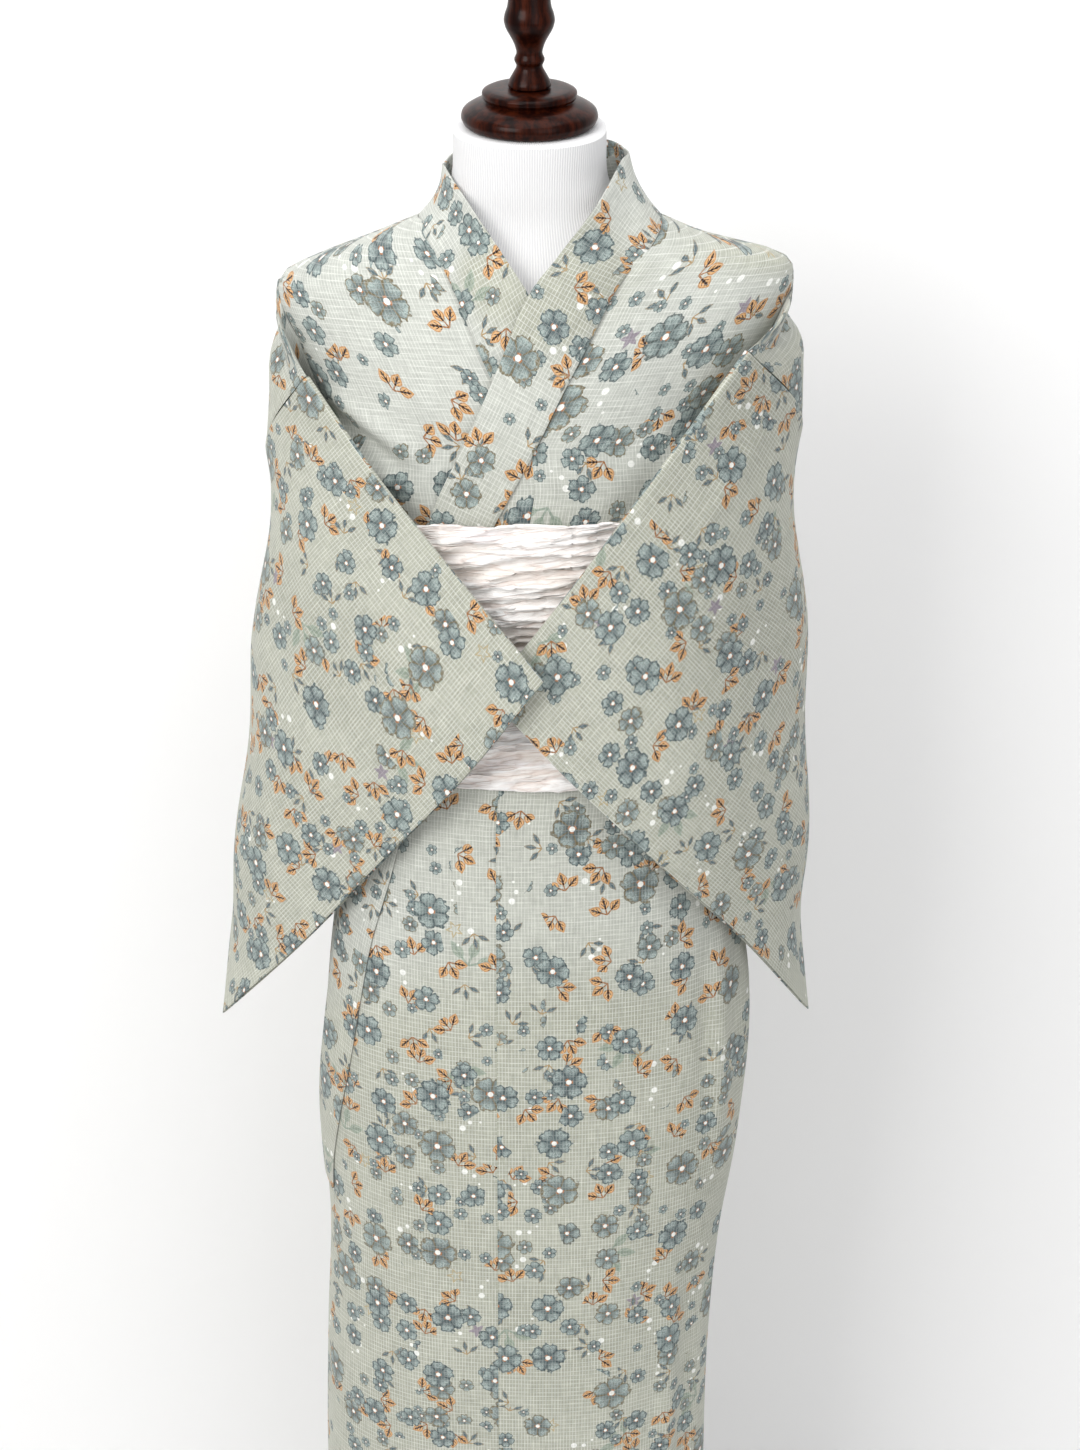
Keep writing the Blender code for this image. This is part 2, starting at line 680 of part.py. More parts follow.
def form_torso(collection):
    """A smooth limbless torso with a leaning neck, closed at both ends."""
    around = 28
    heights = (0.940, 0.943, 0.97, 1.02, 1.07, 1.13, 1.19, 1.26, 1.33, 1.39, 1.44, 1.48, 1.515,
               1.54, 1.558, 1.572, 1.585, 1.597, 1.610, 1.625, 1.645, 1.667, 1.687, 1.690)
    mesh = bmesh.new()
    rings = []
    for z in heights:
        _, front, back = curve_through(FORM_SECTIONS, z)
        half = curve_through(FORM_SECTIONS, z)[0]
        inset = 0.003 if z in (heights[0], heights[-1]) else 0.0
        section = (half - inset, half - inset, front - inset, back - inset)
        lean = max(0.0, (z - 1.640) / (NECK_TOP_Z - 1.640)) * math.tan(math.radians(NECK_LEAN_DEG))
        ring = []
        for step in range(around):
            x, y = section_point(section, -2 * math.pi * step / around)
            ring.append(mesh.verts.new((x, y, z + y * lean)))
        rings.append(ring)
    for lower, upper in zip(rings, rings[1:]):
        for step in range(around):
            beside = (step + 1) % around
            mesh.faces.new((lower[step], lower[beside], upper[beside], upper[step]))
    mesh.faces.new(rings[0])
    mesh.faces.new(list(reversed(rings[-1])))
    bmesh.ops.recalc_face_normals(mesh, faces=mesh.faces[:])
    data = bpy.data.meshes.new("form_torso")
    mesh.to_mesh(data)
    mesh.free()
    data.shade_smooth()
    data.set_sharp_from_angle(angle=math.radians(50))
    add_object("form_torso", data, "form jersey", collection)


def turned(name, profile, place, lean, collection):
    """A turned piece: its profile spun round the axis by a Screw modifier."""
    mesh = bpy.data.meshes.new(name)
    points = [(radius, 0.0, height) for radius, height in profile]
    mesh.from_pydata(points, [(step, step + 1) for step in range(len(points) - 1)], [])
    piece = add_object(name, mesh, "walnut", collection)
    screw = piece.modifiers.new("turn", "SCREW")
    screw.axis = "Z"
    screw.steps = 28
    screw.render_steps = 28
    screw.use_merge_vertices = True
    screw.merge_threshold = 0.00001
    screw.use_smooth_shade = True
    piece.location = place
    piece.rotation_euler = (lean, 0.0, 0.0)
    return piece


def stand(collection):
    """Neck cap, finial, pole and base."""
    lean = math.radians(NECK_LEAN_DEG)
    up = Matrix.Rotation(lean, 3, "X") @ Vector((0.0, 0.0, 1.0))
    seat = Vector((0.0, 0.0, NECK_TOP_Z)) + up * SEAM
    turned("neck_cap", CAP_PROFILE, seat, lean, collection)
    turned("finial", FINIAL_PROFILE, seat + up * (CAP_PROFILE[0][1] + SEAM), lean, collection)
    turned("base", BASE_PROFILE, (0.0, 0.0, 0.0), 0.0, collection)
    low = HUB_TOP_Z + SEAM
    high = FORM_BOTTOM_Z - SEAM
    bpy.ops.mesh.primitive_cylinder_add(
        vertices=24, radius=POLE_RADIUS, depth=high - low, location=(0.0, 0.0, (low + high) / 2))
    pole = bpy.context.object
    pole.name = "pole"
    pole.data.name = "pole"
    pole.data.materials.append(material("walnut"))
    for other in list(pole.users_collection):
        other.objects.unlink(pole)
    collection.objects.link(pole)


def main():
    for old in list(bpy.data.objects):
        bpy.data.objects.remove(old)
    collection = bpy.data.collections.new("cotton yukata robe")
    bpy.context.scene.collection.children.link(collection)
    fronts(collection)
    overlaps(collection)
    backs(collection)
    collar_band(collection)
    drops(collection)
    sleeves(collection)
    sash(collection)
    form_torso(collection)
    stand(collection)


main()
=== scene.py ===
# %% [markdown]
# # A cotton yukata on a dress form
#
# The robe is eleven flat pieces of one narrow printed cotton, sewn with straight seams and wrapped
# round a padded form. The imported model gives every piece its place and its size. This script puts the
# real cloth there: thin walls with soft creases, the print, the crinkled sash, the ribbed jersey of the
# form and its glossy turned wood.

# %% Load the frame
import json
import math

import bmesh
import bpy
import numpy as np
from mathutils import Matrix, Vector

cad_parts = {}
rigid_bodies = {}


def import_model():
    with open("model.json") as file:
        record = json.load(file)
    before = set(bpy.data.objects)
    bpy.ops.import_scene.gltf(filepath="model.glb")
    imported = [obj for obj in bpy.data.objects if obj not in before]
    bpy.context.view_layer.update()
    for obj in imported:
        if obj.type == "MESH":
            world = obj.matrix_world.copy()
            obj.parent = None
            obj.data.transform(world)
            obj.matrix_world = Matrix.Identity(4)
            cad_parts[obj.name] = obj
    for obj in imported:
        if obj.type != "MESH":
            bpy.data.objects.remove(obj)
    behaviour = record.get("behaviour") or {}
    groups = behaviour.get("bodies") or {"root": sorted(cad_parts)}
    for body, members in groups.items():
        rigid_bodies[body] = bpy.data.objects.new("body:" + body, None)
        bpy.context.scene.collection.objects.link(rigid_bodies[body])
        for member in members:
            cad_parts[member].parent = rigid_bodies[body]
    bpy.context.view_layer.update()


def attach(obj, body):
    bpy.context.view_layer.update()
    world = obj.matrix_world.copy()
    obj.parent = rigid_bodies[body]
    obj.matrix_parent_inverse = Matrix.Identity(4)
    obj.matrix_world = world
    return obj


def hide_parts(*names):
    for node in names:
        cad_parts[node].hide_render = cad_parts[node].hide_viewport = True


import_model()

# %% [markdown]
# ## The form that the cloth follows
#
# A wrapped robe is close to a tube of rounded sections. Each row of this table is one level section:
# its height and how far it reaches to the wearer's right, to the left, to the front and to the back. A
# smooth curve runs through the rows, so the same few numbers give the solids and this finer skin.

# %% Level sections of robe and form
ROBE_SECTIONS = np.array((
    (0.030, 0.180, 0.168, 0.118, 0.118), (0.250, 0.185, 0.166, 0.118, 0.118),
    (0.440, 0.190, 0.164, 0.118, 0.118), (0.613, 0.184, 0.165, 0.119, 0.119),
    (0.724, 0.178, 0.171, 0.121, 0.121), (0.830, 0.182, 0.185, 0.124, 0.124),
    (0.930, 0.180, 0.188, 0.127, 0.127), (1.030, 0.170, 0.182, 0.125, 0.126),
    (1.100, 0.158, 0.164, 0.121, 0.120), (1.180, 0.142, 0.144, 0.114, 0.111),
    (1.250, 0.133, 0.133, 0.107, 0.102), (1.330, 0.137, 0.137, 0.108, 0.102),
    (1.400, 0.150, 0.150, 0.111, 0.105), (1.450, 0.161, 0.162, 0.112, 0.106),
    (1.500, 0.174, 0.177, 0.108, 0.102), (1.535, 0.188, 0.192, 0.099, 0.093),
    (1.560, 0.198, 0.203, 0.087, 0.082), (1.578, 0.192, 0.206, 0.077, 0.072),
    (1.592, 0.162, 0.196, 0.071, 0.065), (1.606, 0.124, 0.140, 0.066, 0.062),
    (1.621, 0.086, 0.102, 0.0625, 0.060),
))
FORM_SECTIONS = np.array((
    (0.940, 0.150, 0.098, 0.100), (1.000, 0.160, 0.106, 0.110), (1.050, 0.160, 0.110, 0.113),
    (1.120, 0.142, 0.105, 0.104), (1.180, 0.128, 0.098, 0.094), (1.250, 0.118, 0.092, 0.086),
    (1.330, 0.122, 0.093, 0.086), (1.400, 0.136, 0.097, 0.100), (1.450, 0.148, 0.102, 0.1050),
    (1.500, 0.162, 0.102, 0.1011), (1.535, 0.176, 0.095, 0.0920), (1.560, 0.186, 0.083, 0.0805),
    (1.578, 0.180, 0.073, 0.0700), (1.592, 0.152, 0.066, 0.0620), (1.606, 0.108, 0.060, 0.055),
    (1.622, 0.076, 0.056, 0.054), (1.645, 0.063, 0.056, 0.057), (1.690, 0.059, 0.059, 0.059),
))
FOLDS = (
    # angle in degrees and spread, height of its top and of its bottom, rise
    (76.0, 7.0, 1.06, 0.82, 0.005), (62.0, 6.0, 0.78, -0.60, 0.004), (-66.0, 7.0, 0.70, -0.60, 0.003),
    (150.0, 9.0, 1.12, -0.40, 0.004), (207.0, 10.0, 1.10, -0.40, 0.005),
)
SQUARENESS = 2.3
CLOTH = 0.0012


def curve_through(table, at):
    """Smooth curves through a table's rows, read at any array of values of its first column."""
    keys = table[:, 0]
    values = table[:, 1:]
    at = np.clip(np.asarray(at, dtype=float), keys[0], keys[-1])
    row = np.clip(np.searchsorted(keys, at) - 1, 0, len(keys) - 2)
    step = (keys[row + 1] - keys[row])[..., None]
    part = (at - keys[row])[..., None] / step
    slopes = np.gradient(values, keys, axis=0)
    cube = part ** 3
    square = part ** 2
    return (values[row] * (2 * cube - 3 * square + 1) + values[row + 1] * (3 * square - 2 * cube)
            + slopes[row] * (cube - 2 * square + part) * step + slopes[row + 1] * (cube - square) * step)


def cubic(before, start, end, after, part):
    """A smooth curve from start to end through four evenly spaced values."""
    return 0.5 * (2 * start + (end - before) * part + (2 * before - 5 * start + 4 * end - after) * part ** 2
                  + (3 * start - before - 3 * end + after) * part ** 3)


def signed_power(value, power):
    return np.sign(value) * np.abs(value) ** power


def section_points(right, left, front, back, angle):
    """Points of rounded sections; the angle turns from the front towards the wearer's left."""
    sine = np.sin(angle)
    cosine = np.cos(angle)
    x = signed_power(sine, 2 / SQUARENESS) * np.where(sine > 0, left, right)
    y = -signed_power(cosine, 2 / SQUARENESS) * np.where(cosine > 0, front, back)
    return x, y


def robe_surface(angle, z):
    right, left, front, back = np.moveaxis(curve_through(ROBE_SECTIONS, z), -1, 0)
    x, y = section_points(right, left, front, back, angle)
    return np.stack((x, y, np.broadcast_to(z, x.shape)), axis=-1)


def fold_height(angle, z):
    """The soft standing folds of the skirt."""
    degrees = np.degrees(angle)
    total = np.zeros(np.broadcast(angle, z).shape)
    for centre, spread, top, bottom, height in FOLDS:
        away = (degrees - centre + 180.0) % 360.0 - 180.0
        along = np.clip((z - bottom) / (top - bottom), 0.0, 1.0)
        total = total + height * np.exp(-(away / spread) ** 2) * np.sin(math.pi * along) ** 2
    return total


def robe_points(angle, z, lift):
    """Points that stand off the robe's surface by lift, square to it."""
    angle, z, lift = np.broadcast_arrays(np.asarray(angle, float), np.asarray(z, float), lift)
    around = robe_surface(angle + 0.004, z) - robe_surface(angle - 0.004, z)
    upward = robe_surface(angle, z + 0.002) - robe_surface(angle, z - 0.002)
    outward = np.cross(around, upward)
    outward /= np.linalg.norm(outward, axis=-1, keepdims=True)
    return robe_surface(angle, z) + outward * (lift + fold_height(angle, z))[..., None]


def angle_at_x(x, z):
    """The angle at which the front of the robe has this x."""
    right, left, _, _ = np.moveaxis(curve_through(ROBE_SECTIONS, z), -1, 0)
    share = np.minimum(1.0, np.abs(x) / np.where(np.asarray(x) > 0, left, right))
    return np.sign(x) * np.arcsin(share ** (SQUARENESS / 2))


def angle_of_point(points):
    """The angle of the robe's surface that lies nearest to points beside it."""
    right, left, front, back = np.moveaxis(curve_through(ROBE_SECTIONS, points[..., 2]), -1, 0)
    x, y = points[..., 0], points[..., 1]
    across = signed_power(x / np.where(x > 0, left, right), SQUARENESS / 2)
    forward = signed_power(-y / np.where(y < 0, front, back), SQUARENESS / 2)
    return np.arctan2(across, forward)


def ease(value, low, high):
    share = np.clip((value - low) / (high - low), 0.0, 1.0)
    return share * share * (3 - 2 * share)


print("waist of the robe, mm:", np.round(robe_surface(np.radians([0.0, 90.0, 180.0]), 1.25) * 1000))

# %% [markdown]
# ## A sheet of cloth with its flat pattern
#
# A woven print has to run along the threads, not along the room. So every piece keeps a UV map in
# metres of its flat cut: u across the width of the cloth and v along it. The lengths are measured on the
# grid itself. A Solidify modifier gives the sheet its wall, towards the inside.

# %% Make one cloth object from a grid of points


def lengths_along(grid, axis):
    """Running length along one axis of a grid of points."""
    steps = np.linalg.norm(np.diff(grid, axis=axis), axis=-1)
    start = np.zeros_like(np.take(steps, [0], axis=axis))
    return np.concatenate((start, np.cumsum(steps, axis=axis)), axis=axis)


def cut_of(grid, start=(0.0, 0.0), level=True):
    """Flat coordinates of a grid: u runs along its rows, v up its columns."""
    across = lengths_along(grid, 1)
    if level:
        down = grid[:, :, 2] - grid[0, 0, 2]
    else:
        down = -lengths_along(grid, 0)
        down = np.broadcast_to(down.mean(axis=1, keepdims=True), down.shape)
    return np.stack((across + start[0], down + start[1]), axis=-1)


def grid_faces(rows, columns, ring):
    """Quads between the points of a grid; the last column of a ring is its first one again."""
    used = columns - 1 if ring else columns
    row, column = np.meshgrid(np.arange(rows - 1), np.arange(columns - 1), indexing="ij")
    beside = (column + 1) % used
    return np.stack((row * used + column, row * used + beside, (row + 1) * used + beside,
                     (row + 1) * used + column), axis=-1).reshape(-1, 4)


def placed(name, data):
    """A new object in the scene, at the origin."""
    made = bpy.data.objects.new(name, data)
    bpy.context.scene.collection.objects.link(made)
    return made


grid_sizes = {}


def cloth(name, grid, cut, wall, outward, ring=False, behind=None):
    """A thin-walled sheet from rows of points; outward gives a direction that its face looks to."""
    rows, columns = grid.shape[:2]
    used = columns - 1 if ring else columns
    grid_sizes[name] = (rows, used, ring)
    points = grid[:, :used].reshape(-1, 3)
    faces = grid_faces(rows, columns, ring)
    corners = np.stack((cut[:-1, :-1], cut[:-1, 1:], cut[1:, 1:], cut[1:, :-1]), axis=2).reshape(-1, 4, 2)
    middle = points[faces].mean(axis=1)
    normal = np.cross(points[faces[:, 2]] - points[faces[:, 0]], points[faces[:, 3]] - points[faces[:, 1]])
    if (normal * outward(middle)).sum() < 0:
        faces = faces[:, ::-1]
        corners = corners[:, ::-1]
    mesh = bpy.data.meshes.new(name)
    mesh.from_pydata(points.tolist(), [], faces.tolist())
    layer = mesh.uv_layers.new(name="cut")
    layer.data.foreach_set("uv", corners.reshape(-1))
    # this layer holds painted light and shade: the paler show-through of the white form on the robe's
    # pieces, and the darker hollows of the sash
    painted_light_and_shade_layer = mesh.attributes.new("behind", "FLOAT", "POINT")
    shares = np.zeros((rows, columns)) if behind is None else behind
    painted_light_and_shade_layer.data.foreach_set("value", shares[:, :used].reshape(-1).astype(np.float32))
    mesh.shade_smooth()
    piece = placed(name, mesh)
    solid = piece.modifiers.new("wall", "SOLIDIFY")
    solid.thickness = wall
    solid.offset = -1.0
    solid.use_even_offset = ring
    # broad faces set the shading, so that a thin edge doesn't darken the cloth beside it
    piece.modifiers.new("broad faces", "WEIGHTED_NORMAL").weight = 100
    return piece


def from_axis(points):
    return points * np.array((1.0, 1.0, 0.0))


print("cloth maker ready")

# %% [markdown]
# ## Seams
#
# The seams are the real lines that a maker sews: the overlap strip's seam near the middle, the side
# seam, and the slanting seam where the collar band is sewn on. Each is a small table of a height and a
# place at that height.

# %% Seam lines
UNDER_LIFT = 0.0015
UNDER_BAND_LIFT = 0.0038
OVER_LIFT = 0.0072
OVER_BAND_RISE = 0.0024
NECK_BAND_LIFT = 0.0034
HEM_Z = 0.036
UNDERARM_Z = 1.425
COLLAR_SIDE_Z = 1.6208
BAND_END_Z = 0.765
OVERLAP_TOP_Z = 1.463
BAND_WIDTH = 0.053
OVER_SEAM = np.array((
    (0.765, -0.170), (0.806, -0.168), (0.866, -0.159), (0.930, -0.147), (1.044, -0.126), (1.093, -0.112),
    (1.180, -0.090), (1.240, -0.072), (1.330, -0.048), (1.408, -0.025), (1.449, -0.003), (1.501, 0.023),
    (1.540, 0.045), (1.578, 0.067), (1.602, 0.087), (1.621, 0.102),
))
UNDER_SEAM = np.array((
    (0.765, 0.122), (0.806, 0.121), (0.866, 0.119), (0.930, 0.116), (1.044, 0.108), (1.093, 0.101),
    (1.180, 0.088), (1.240, 0.072), (1.330, 0.048), (1.408, 0.025), (1.449, 0.003), (1.501, -0.022),
    (1.540, -0.041), (1.578, -0.058), (1.602, -0.070), (1.621, -0.084),
))
OVERLAP_SEAM = ((0.030, -0.029), (0.500, -0.029), (1.150, -0.027), (1.300, -0.016), (1.430, 0.004),
                (1.465, 0.0015))
BACK_NECK = ((0.000, 0.000), (1.5979, 0.000), (1.602, 0.020), (1.609, 0.045), (1.618, 0.072))
ARMHOLE_EDGE = ((1.4249, 84.0), (1.425, 72.0), (1.530, 72.0), (1.548, 73.0), (1.562, 76.0),
                (1.5745, 82.0), (1.5799, 90.0))


def over_seam_x(z):
    """Where the outer band is sewn on."""
    return curve_through(OVER_SEAM, z)[..., 0]


def under_seam_x(z):
    return curve_through(UNDER_SEAM, z)[..., 0]


def overlap_seam_x(z):
    return np.interp(z, *zip(*OVERLAP_SEAM))


def side_angle(z):
    """The side seam, the armhole above it and the shoulder fold at the top."""
    return np.radians(np.interp(z, *zip(*ARMHOLE_EDGE)))


def over_lift(angle, z):
    """The left front rises from the side seam and from the shoulder to clear the layers under it."""
    from_side = ease(-np.degrees(angle), -83.0, -68.0)
    near_middle = ease(-np.degrees(angle), -35.0, -14.0)
    below_chest = ease(-z, -1.500, -1.440)
    return UNDER_LIFT + (OVER_LIFT - UNDER_LIFT) * from_side * np.maximum(below_chest, near_middle)


def over_band_lift(z):
    return over_lift(angle_at_x(over_seam_x(z), z), z) + OVER_BAND_RISE


def under_band_lift(z):
    return UNDER_BAND_LIFT + (NECK_BAND_LIFT - UNDER_BAND_LIFT) * ease(z, 1.560, 1.600)


def painted_show_through_share(points):
    """How close the white form lies behind the cloth, from 0 to 1: the cotton is painted paler there, as
    painted light.
    """
    z = np.clip(points[..., 2], 0.940, 1.690)
    half, front, back = np.moveaxis(curve_through(FORM_SECTIONS, z), -1, 0)
    depth = np.where(points[..., 1] < 0, front, back)
    reach = (np.abs(points[..., 0] / half) ** SQUARENESS + np.abs(points[..., 1] / depth) ** SQUARENESS)
    reach = reach ** (1 / SQUARENESS)
    gap = (reach - 1.0) * half
    return (1.0 - ease(gap, 0.018, 0.045)) * ease(points[..., 2], 0.93, 0.98)


print("band seam at the chest, mm:", round(float(over_seam_x(1.449)) * 1000))

# %% [markdown]
# ## Creases
#
# Cotton that is only drawn in at the sash keeps a few soft folds, and they are drawn one by one. Each crease
# is a line seen from the front, with a height and a width. The cloth rises along it like a rounded
# ridge, or sinks where the height is below zero.

# %% Creases one by one
BODY_CREASES = (
    # x and z of one end, x and z of the other, height, width
    (-0.162, 1.474, -0.094, 1.420, 0.0090, 0.0062), (-0.164, 1.462, -0.106, 1.410, -0.0040, 0.0052),
    (-0.160, 1.498, -0.080, 1.452, 0.0060, 0.0078), (-0.156, 1.446, -0.104, 1.404, 0.0072, 0.0056),
    (-0.158, 1.486, -0.090, 1.438, -0.0036, 0.0050),
    (-0.100, 1.530, -0.060, 1.470, 0.0012, 0.0110), (-0.060, 1.452, -0.020, 1.420, 0.0012, 0.0080),
    (0.080, 1.520, 0.110, 1.440, 0.0014, 0.0120), (0.126, 1.474, 0.086, 1.408, 0.0040, 0.0075),
    (0.060, 1.425, 0.040, 1.400, 0.0014, 0.0070), (0.140, 1.500, 0.120, 1.420, -0.0014, 0.0100),
    (-0.020, 1.190, -0.050, 1.080, 0.0016, 0.0100), (0.040, 1.190, 0.055, 1.090, 0.0016, 0.0110),
    (0.080, 1.180, 0.110, 1.060, 0.0020, 0.0120), (-0.080, 1.180, -0.110, 1.060, 0.0020, 0.0110),
    (0.010, 1.185, 0.012, 1.120, 0.0012, 0.0080), (0.122, 0.760, 0.128, 0.200, 0.0046, 0.0085),
    (0.140, 0.740, 0.143, 0.150, -0.0034, 0.0080), (0.158, 1.050, 0.165, 0.800, 0.0050, 0.0090),
    (0.148, 1.040, 0.150, 0.860, -0.0030, 0.0080), (0.060, 0.700, 0.075, 0.100, 0.0016, 0.0220),
    (-0.090, 0.800, -0.100, 0.150, 0.0018, 0.0240), (0.020, 0.900, 0.030, 0.350, 0.0010, 0.0260),
)


def crease_height(points, creases):
    """The rise of the cloth at points seen from the front."""
    flat = points[..., [0, 2]]
    rise = np.zeros(flat.shape[:-1])
    for x0, z0, x1, z1, height, width in creases:
        start = np.array((x0, z0))
        run = np.array((x1, z1)) - start
        along = ((flat - start) @ run) / (run @ run)
        inside = np.clip(along, 0.0, 1.0)
        away = np.linalg.norm(flat - start - inside[..., None] * run, axis=-1)
        taper = np.sin(math.pi * inside) ** 0.7
        rise += height * np.exp(-(away / width) ** 2) * taper
    return rise * (points[..., 1] < 0.03)


def soft_noise(shape, spans, seed):
    """A smooth random field between -1 and 1 with a few random swings along each side."""
    values = np.random.default_rng(seed).uniform(-1, 1, (spans[0] + 3, spans[1] + 3))
    for axis, count in ((0, shape[0]), (1, shape[1])):
        place = np.linspace(1, values.shape[axis] - 2.001, count)
        base = place.astype(int)
        part = place - base
        part = part[:, None] if axis == 0 else part[None, :]
        values = cubic(*(np.take(values, base + shift, axis=axis) for shift in (-1, 0, 1, 2)), part)
    return values


print("creases on the body:", len(BODY_CREASES))

# %% [markdown]
# ## Fronts, overlaps and backs
#
# A yukata's body is two widths of cloth that run from the front hem over the shoulder to the back hem.
# The overlap strips widen the fronts so that they can wrap. The rows of a panel are level lines, so the
# threads of the print stay upright, as they hang on the real robe.

# %% Body panels
ROW = 0.0052
COLUMN = 0.0046
BODY_RADIUS = 0.15
EDGE_SHARE = 1 / 12
RIPPLE = 0.0009
RIPPLES_BELOW = (1.08, 1.18)
UNDER_SASH = (1.165, 1.19, 1.40, 1.43)
DEEPEST_CREASE = 0.0030
BAND_TUCK = 0.003
LAYER_TURN = 0.002
SEAM_TURN = 0.0004


def body_panel(name, top, inner, outer, lift, start, seed):
    """One body piece between two edges, each given as an angle at every height."""
    rows = int((top - HEM_Z) / ROW) + 1
    z = np.linspace(top, HEM_Z, rows)
    first = inner(z)
    last = outer(z)
    width = float(np.abs(last - first).max()) * BODY_RADIUS
    columns = max(12, int(width / COLUMN))
    share = np.linspace(0.0, 1.0, columns + 1)
    angle = first[:, None] + (last - first)[:, None] * share
    height = np.broadcast_to(z[:, None], angle.shape)
    flat = robe_points(angle, height, lift(angle, height))
    edge = np.minimum(1.0, np.minimum(share, 1.0 - share) / EDGE_SHARE)[None, :]
    rise = crease_height(flat, BODY_CREASES) * edge
    rise += RIPPLE * soft_noise(flat.shape[:2], (16, 3), seed) * edge * (1.0 - ease(height, *RIPPLES_BELOW))
    # the sash holds the cloth flat
    rise *= 1.0 - ease(height, *UNDER_SASH[:2]) * (1.0 - ease(height, *UNDER_SASH[2:]))
    raised = robe_points(angle, height, lift(angle, height) + np.maximum(rise, -DEEPEST_CREASE * edge))
    return cloth(name, raised, cut_of(flat, start), CLOTH, from_axis, behind=painted_show_through_share(flat))


def level_lift(angle, z):
    return np.full(np.shape(angle), OVER_LIFT)


def low_lift(angle, z):
    return np.full(np.shape(angle), UNDER_LIFT)


def middle_seam(side, z):
    """The seam between a front, on its side of the body, and its overlap strip."""
    return angle_at_x(side * overlap_seam_x(z), z)


def left_front_inner(z):
    return np.where(z < OVERLAP_TOP_Z, middle_seam(1, z), angle_at_x(over_seam_x(z) - BAND_TUCK, z))


def right_front_inner(z):
    return np.where(z < OVERLAP_TOP_Z, middle_seam(-1, z) - LAYER_TURN,
                    angle_at_x(under_seam_x(z) + BAND_TUCK, z))


def overlap_edge(z):
    lap = np.minimum(angle_at_x(over_seam_x(z) - BAND_TUCK, z), middle_seam(1, z) - LAYER_TURN - 0.02)
    return np.where(z < BAND_END_Z, math.radians(-84.0), lap)


def under_overlap_edge(z):
    lap = np.maximum(angle_at_x(under_seam_x(z) + BAND_TUCK, z), middle_seam(-1, z) + LAYER_TURN + 0.02)
    return np.where(z < BAND_END_Z, math.radians(58.0), lap)


def back_inner(z):
    neck = np.interp(z, *zip(*BACK_NECK))
    return math.pi - np.where(neck < 0.001, 0.0002, angle_at_x(neck, z))


def back_outer(z):
    return np.where(z > UNDERARM_Z, math.pi - side_angle(z), side_angle(z)) + SEAM_TURN


PANELS = {
    # name: top, inner edge, outer edge, lift, start of its cut, random seed
    "front_left": (COLLAR_SIDE_Z, left_front_inner, lambda z: side_angle(z) - SEAM_TURN, over_lift,
                   (0.31, 0.12), 1),
    "front_right": (COLLAR_SIDE_Z, right_front_inner, lambda z: SEAM_TURN - side_angle(z), low_lift,
                    (0.87, 0.55), 2),
    "overlap_left": (OVERLAP_TOP_Z - 0.004, lambda z: middle_seam(1, z), overlap_edge, level_lift,
                     (1.43, 0.31), 3),
    "overlap_right": (OVERLAP_TOP_Z - 0.004, lambda z: middle_seam(-1, z) + LAYER_TURN,
                      under_overlap_edge, low_lift, (2.21, 0.77), 4),
    "back_left": (COLLAR_SIDE_Z, back_inner, back_outer, low_lift, (2.90, 0.20), 6),
    "back_right": (COLLAR_SIDE_Z, lambda z: -back_inner(z), lambda z: -back_outer(z), low_lift,
                   (3.60, 0.45), 4),
}
pieces = {name: body_panel(name, *given) for name, given in PANELS.items()}
print("body pieces:", {name: len(piece.data.polygons) for name, piece in pieces.items()})

# %% [markdown]
# ## The collar band
#
# One long doubled strip, about 5.5 cm wide, runs from one front edge round the neck and down the other.
# It lies flat on the chest and stands up off the neck. It is set out with few stations, like pattern
# marks, and then drawn smoothly through them.

# %% Collar band
OVER_COLLAR = ((1.618, 0.071, -0.014, 1.665), (1.602, 0.047, -0.076, 1.634),
               (1.578, 0.020, -0.094, 1.603), (1.540, -0.001, -0.104, 1.577))
UNDER_COLLAR = ((1.618, -0.0655, -0.008, 1.659), (1.602, -0.042, -0.070, 1.634),
                (1.578, -0.020, -0.086, 1.605), (1.540, 0.001, -0.096, 1.574))
BACK_COLLAR = ((105.0, 1.6195, 0.0765, 0.018, 1.669), (130.0, 1.6185, 0.061, 0.051, 1.674),
               (155.0, 1.6110, 0.034, 0.074, 1.667), (180.0, 1.6010, 0.000, 0.081, 1.657),
               (205.0, 1.6110, -0.033, 0.073, 1.664), (230.0, 1.6185, -0.058, 0.049, 1.665),
               (255.0, 1.6195, -0.0665, 0.014, 1.661))
BAND_MARKS = (0.772, 0.80, 0.86, 0.92, 0.98, 1.04, 1.10, 1.16, 1.22, 1.29, 1.36, 1.40, 1.43, 1.465, 1.50)
BAND_CLOTH = 0.0016
SEWN_EDGE_DROP = 0.0035
FRONT_BULGE = 0.003


def resample(grid, rows, columns):
    """Draw a coarse grid of points smoothly through, with evenly spaced rows and columns."""
    for axis, count in ((0, rows), (1, columns)):
        turned = np.moveaxis(grid, axis, 0)
        steps = np.linalg.norm(np.diff(turned, axis=0), axis=-1).mean(axis=1)
        keys = np.concatenate(([0.0], np.cumsum(steps)))
        table = np.concatenate((keys[:, None], turned.reshape(len(keys), -1)), axis=1)
        even = curve_through(table, np.linspace(0.0, keys[-1], count))
        grid = np.moveaxis(even.reshape((count,) + turned.shape[1:]), 0, axis)
    return grid


def band_station(seam_x, z, lift, side):
    """The band's row from its sewn edge to its free edge where it lies on the body."""
    around = np.array((z - 0.01, z + 0.01, z))
    low, high, sewn = robe_points(angle_at_x(seam_x(around), around), around, lift)
    outward = robe_points(angle_at_x(seam_x(z), z), z, lift + 0.01) - sewn
    across = np.cross((high - low) / np.linalg.norm(high - low), outward / np.linalg.norm(outward)) * side
    beside = sewn + across * BAND_WIDTH * np.array((1, 2, 3))[:, None] / 3
    return np.vstack((sewn[None], robe_points(angle_of_point(beside), beside[:, 2], lift)))


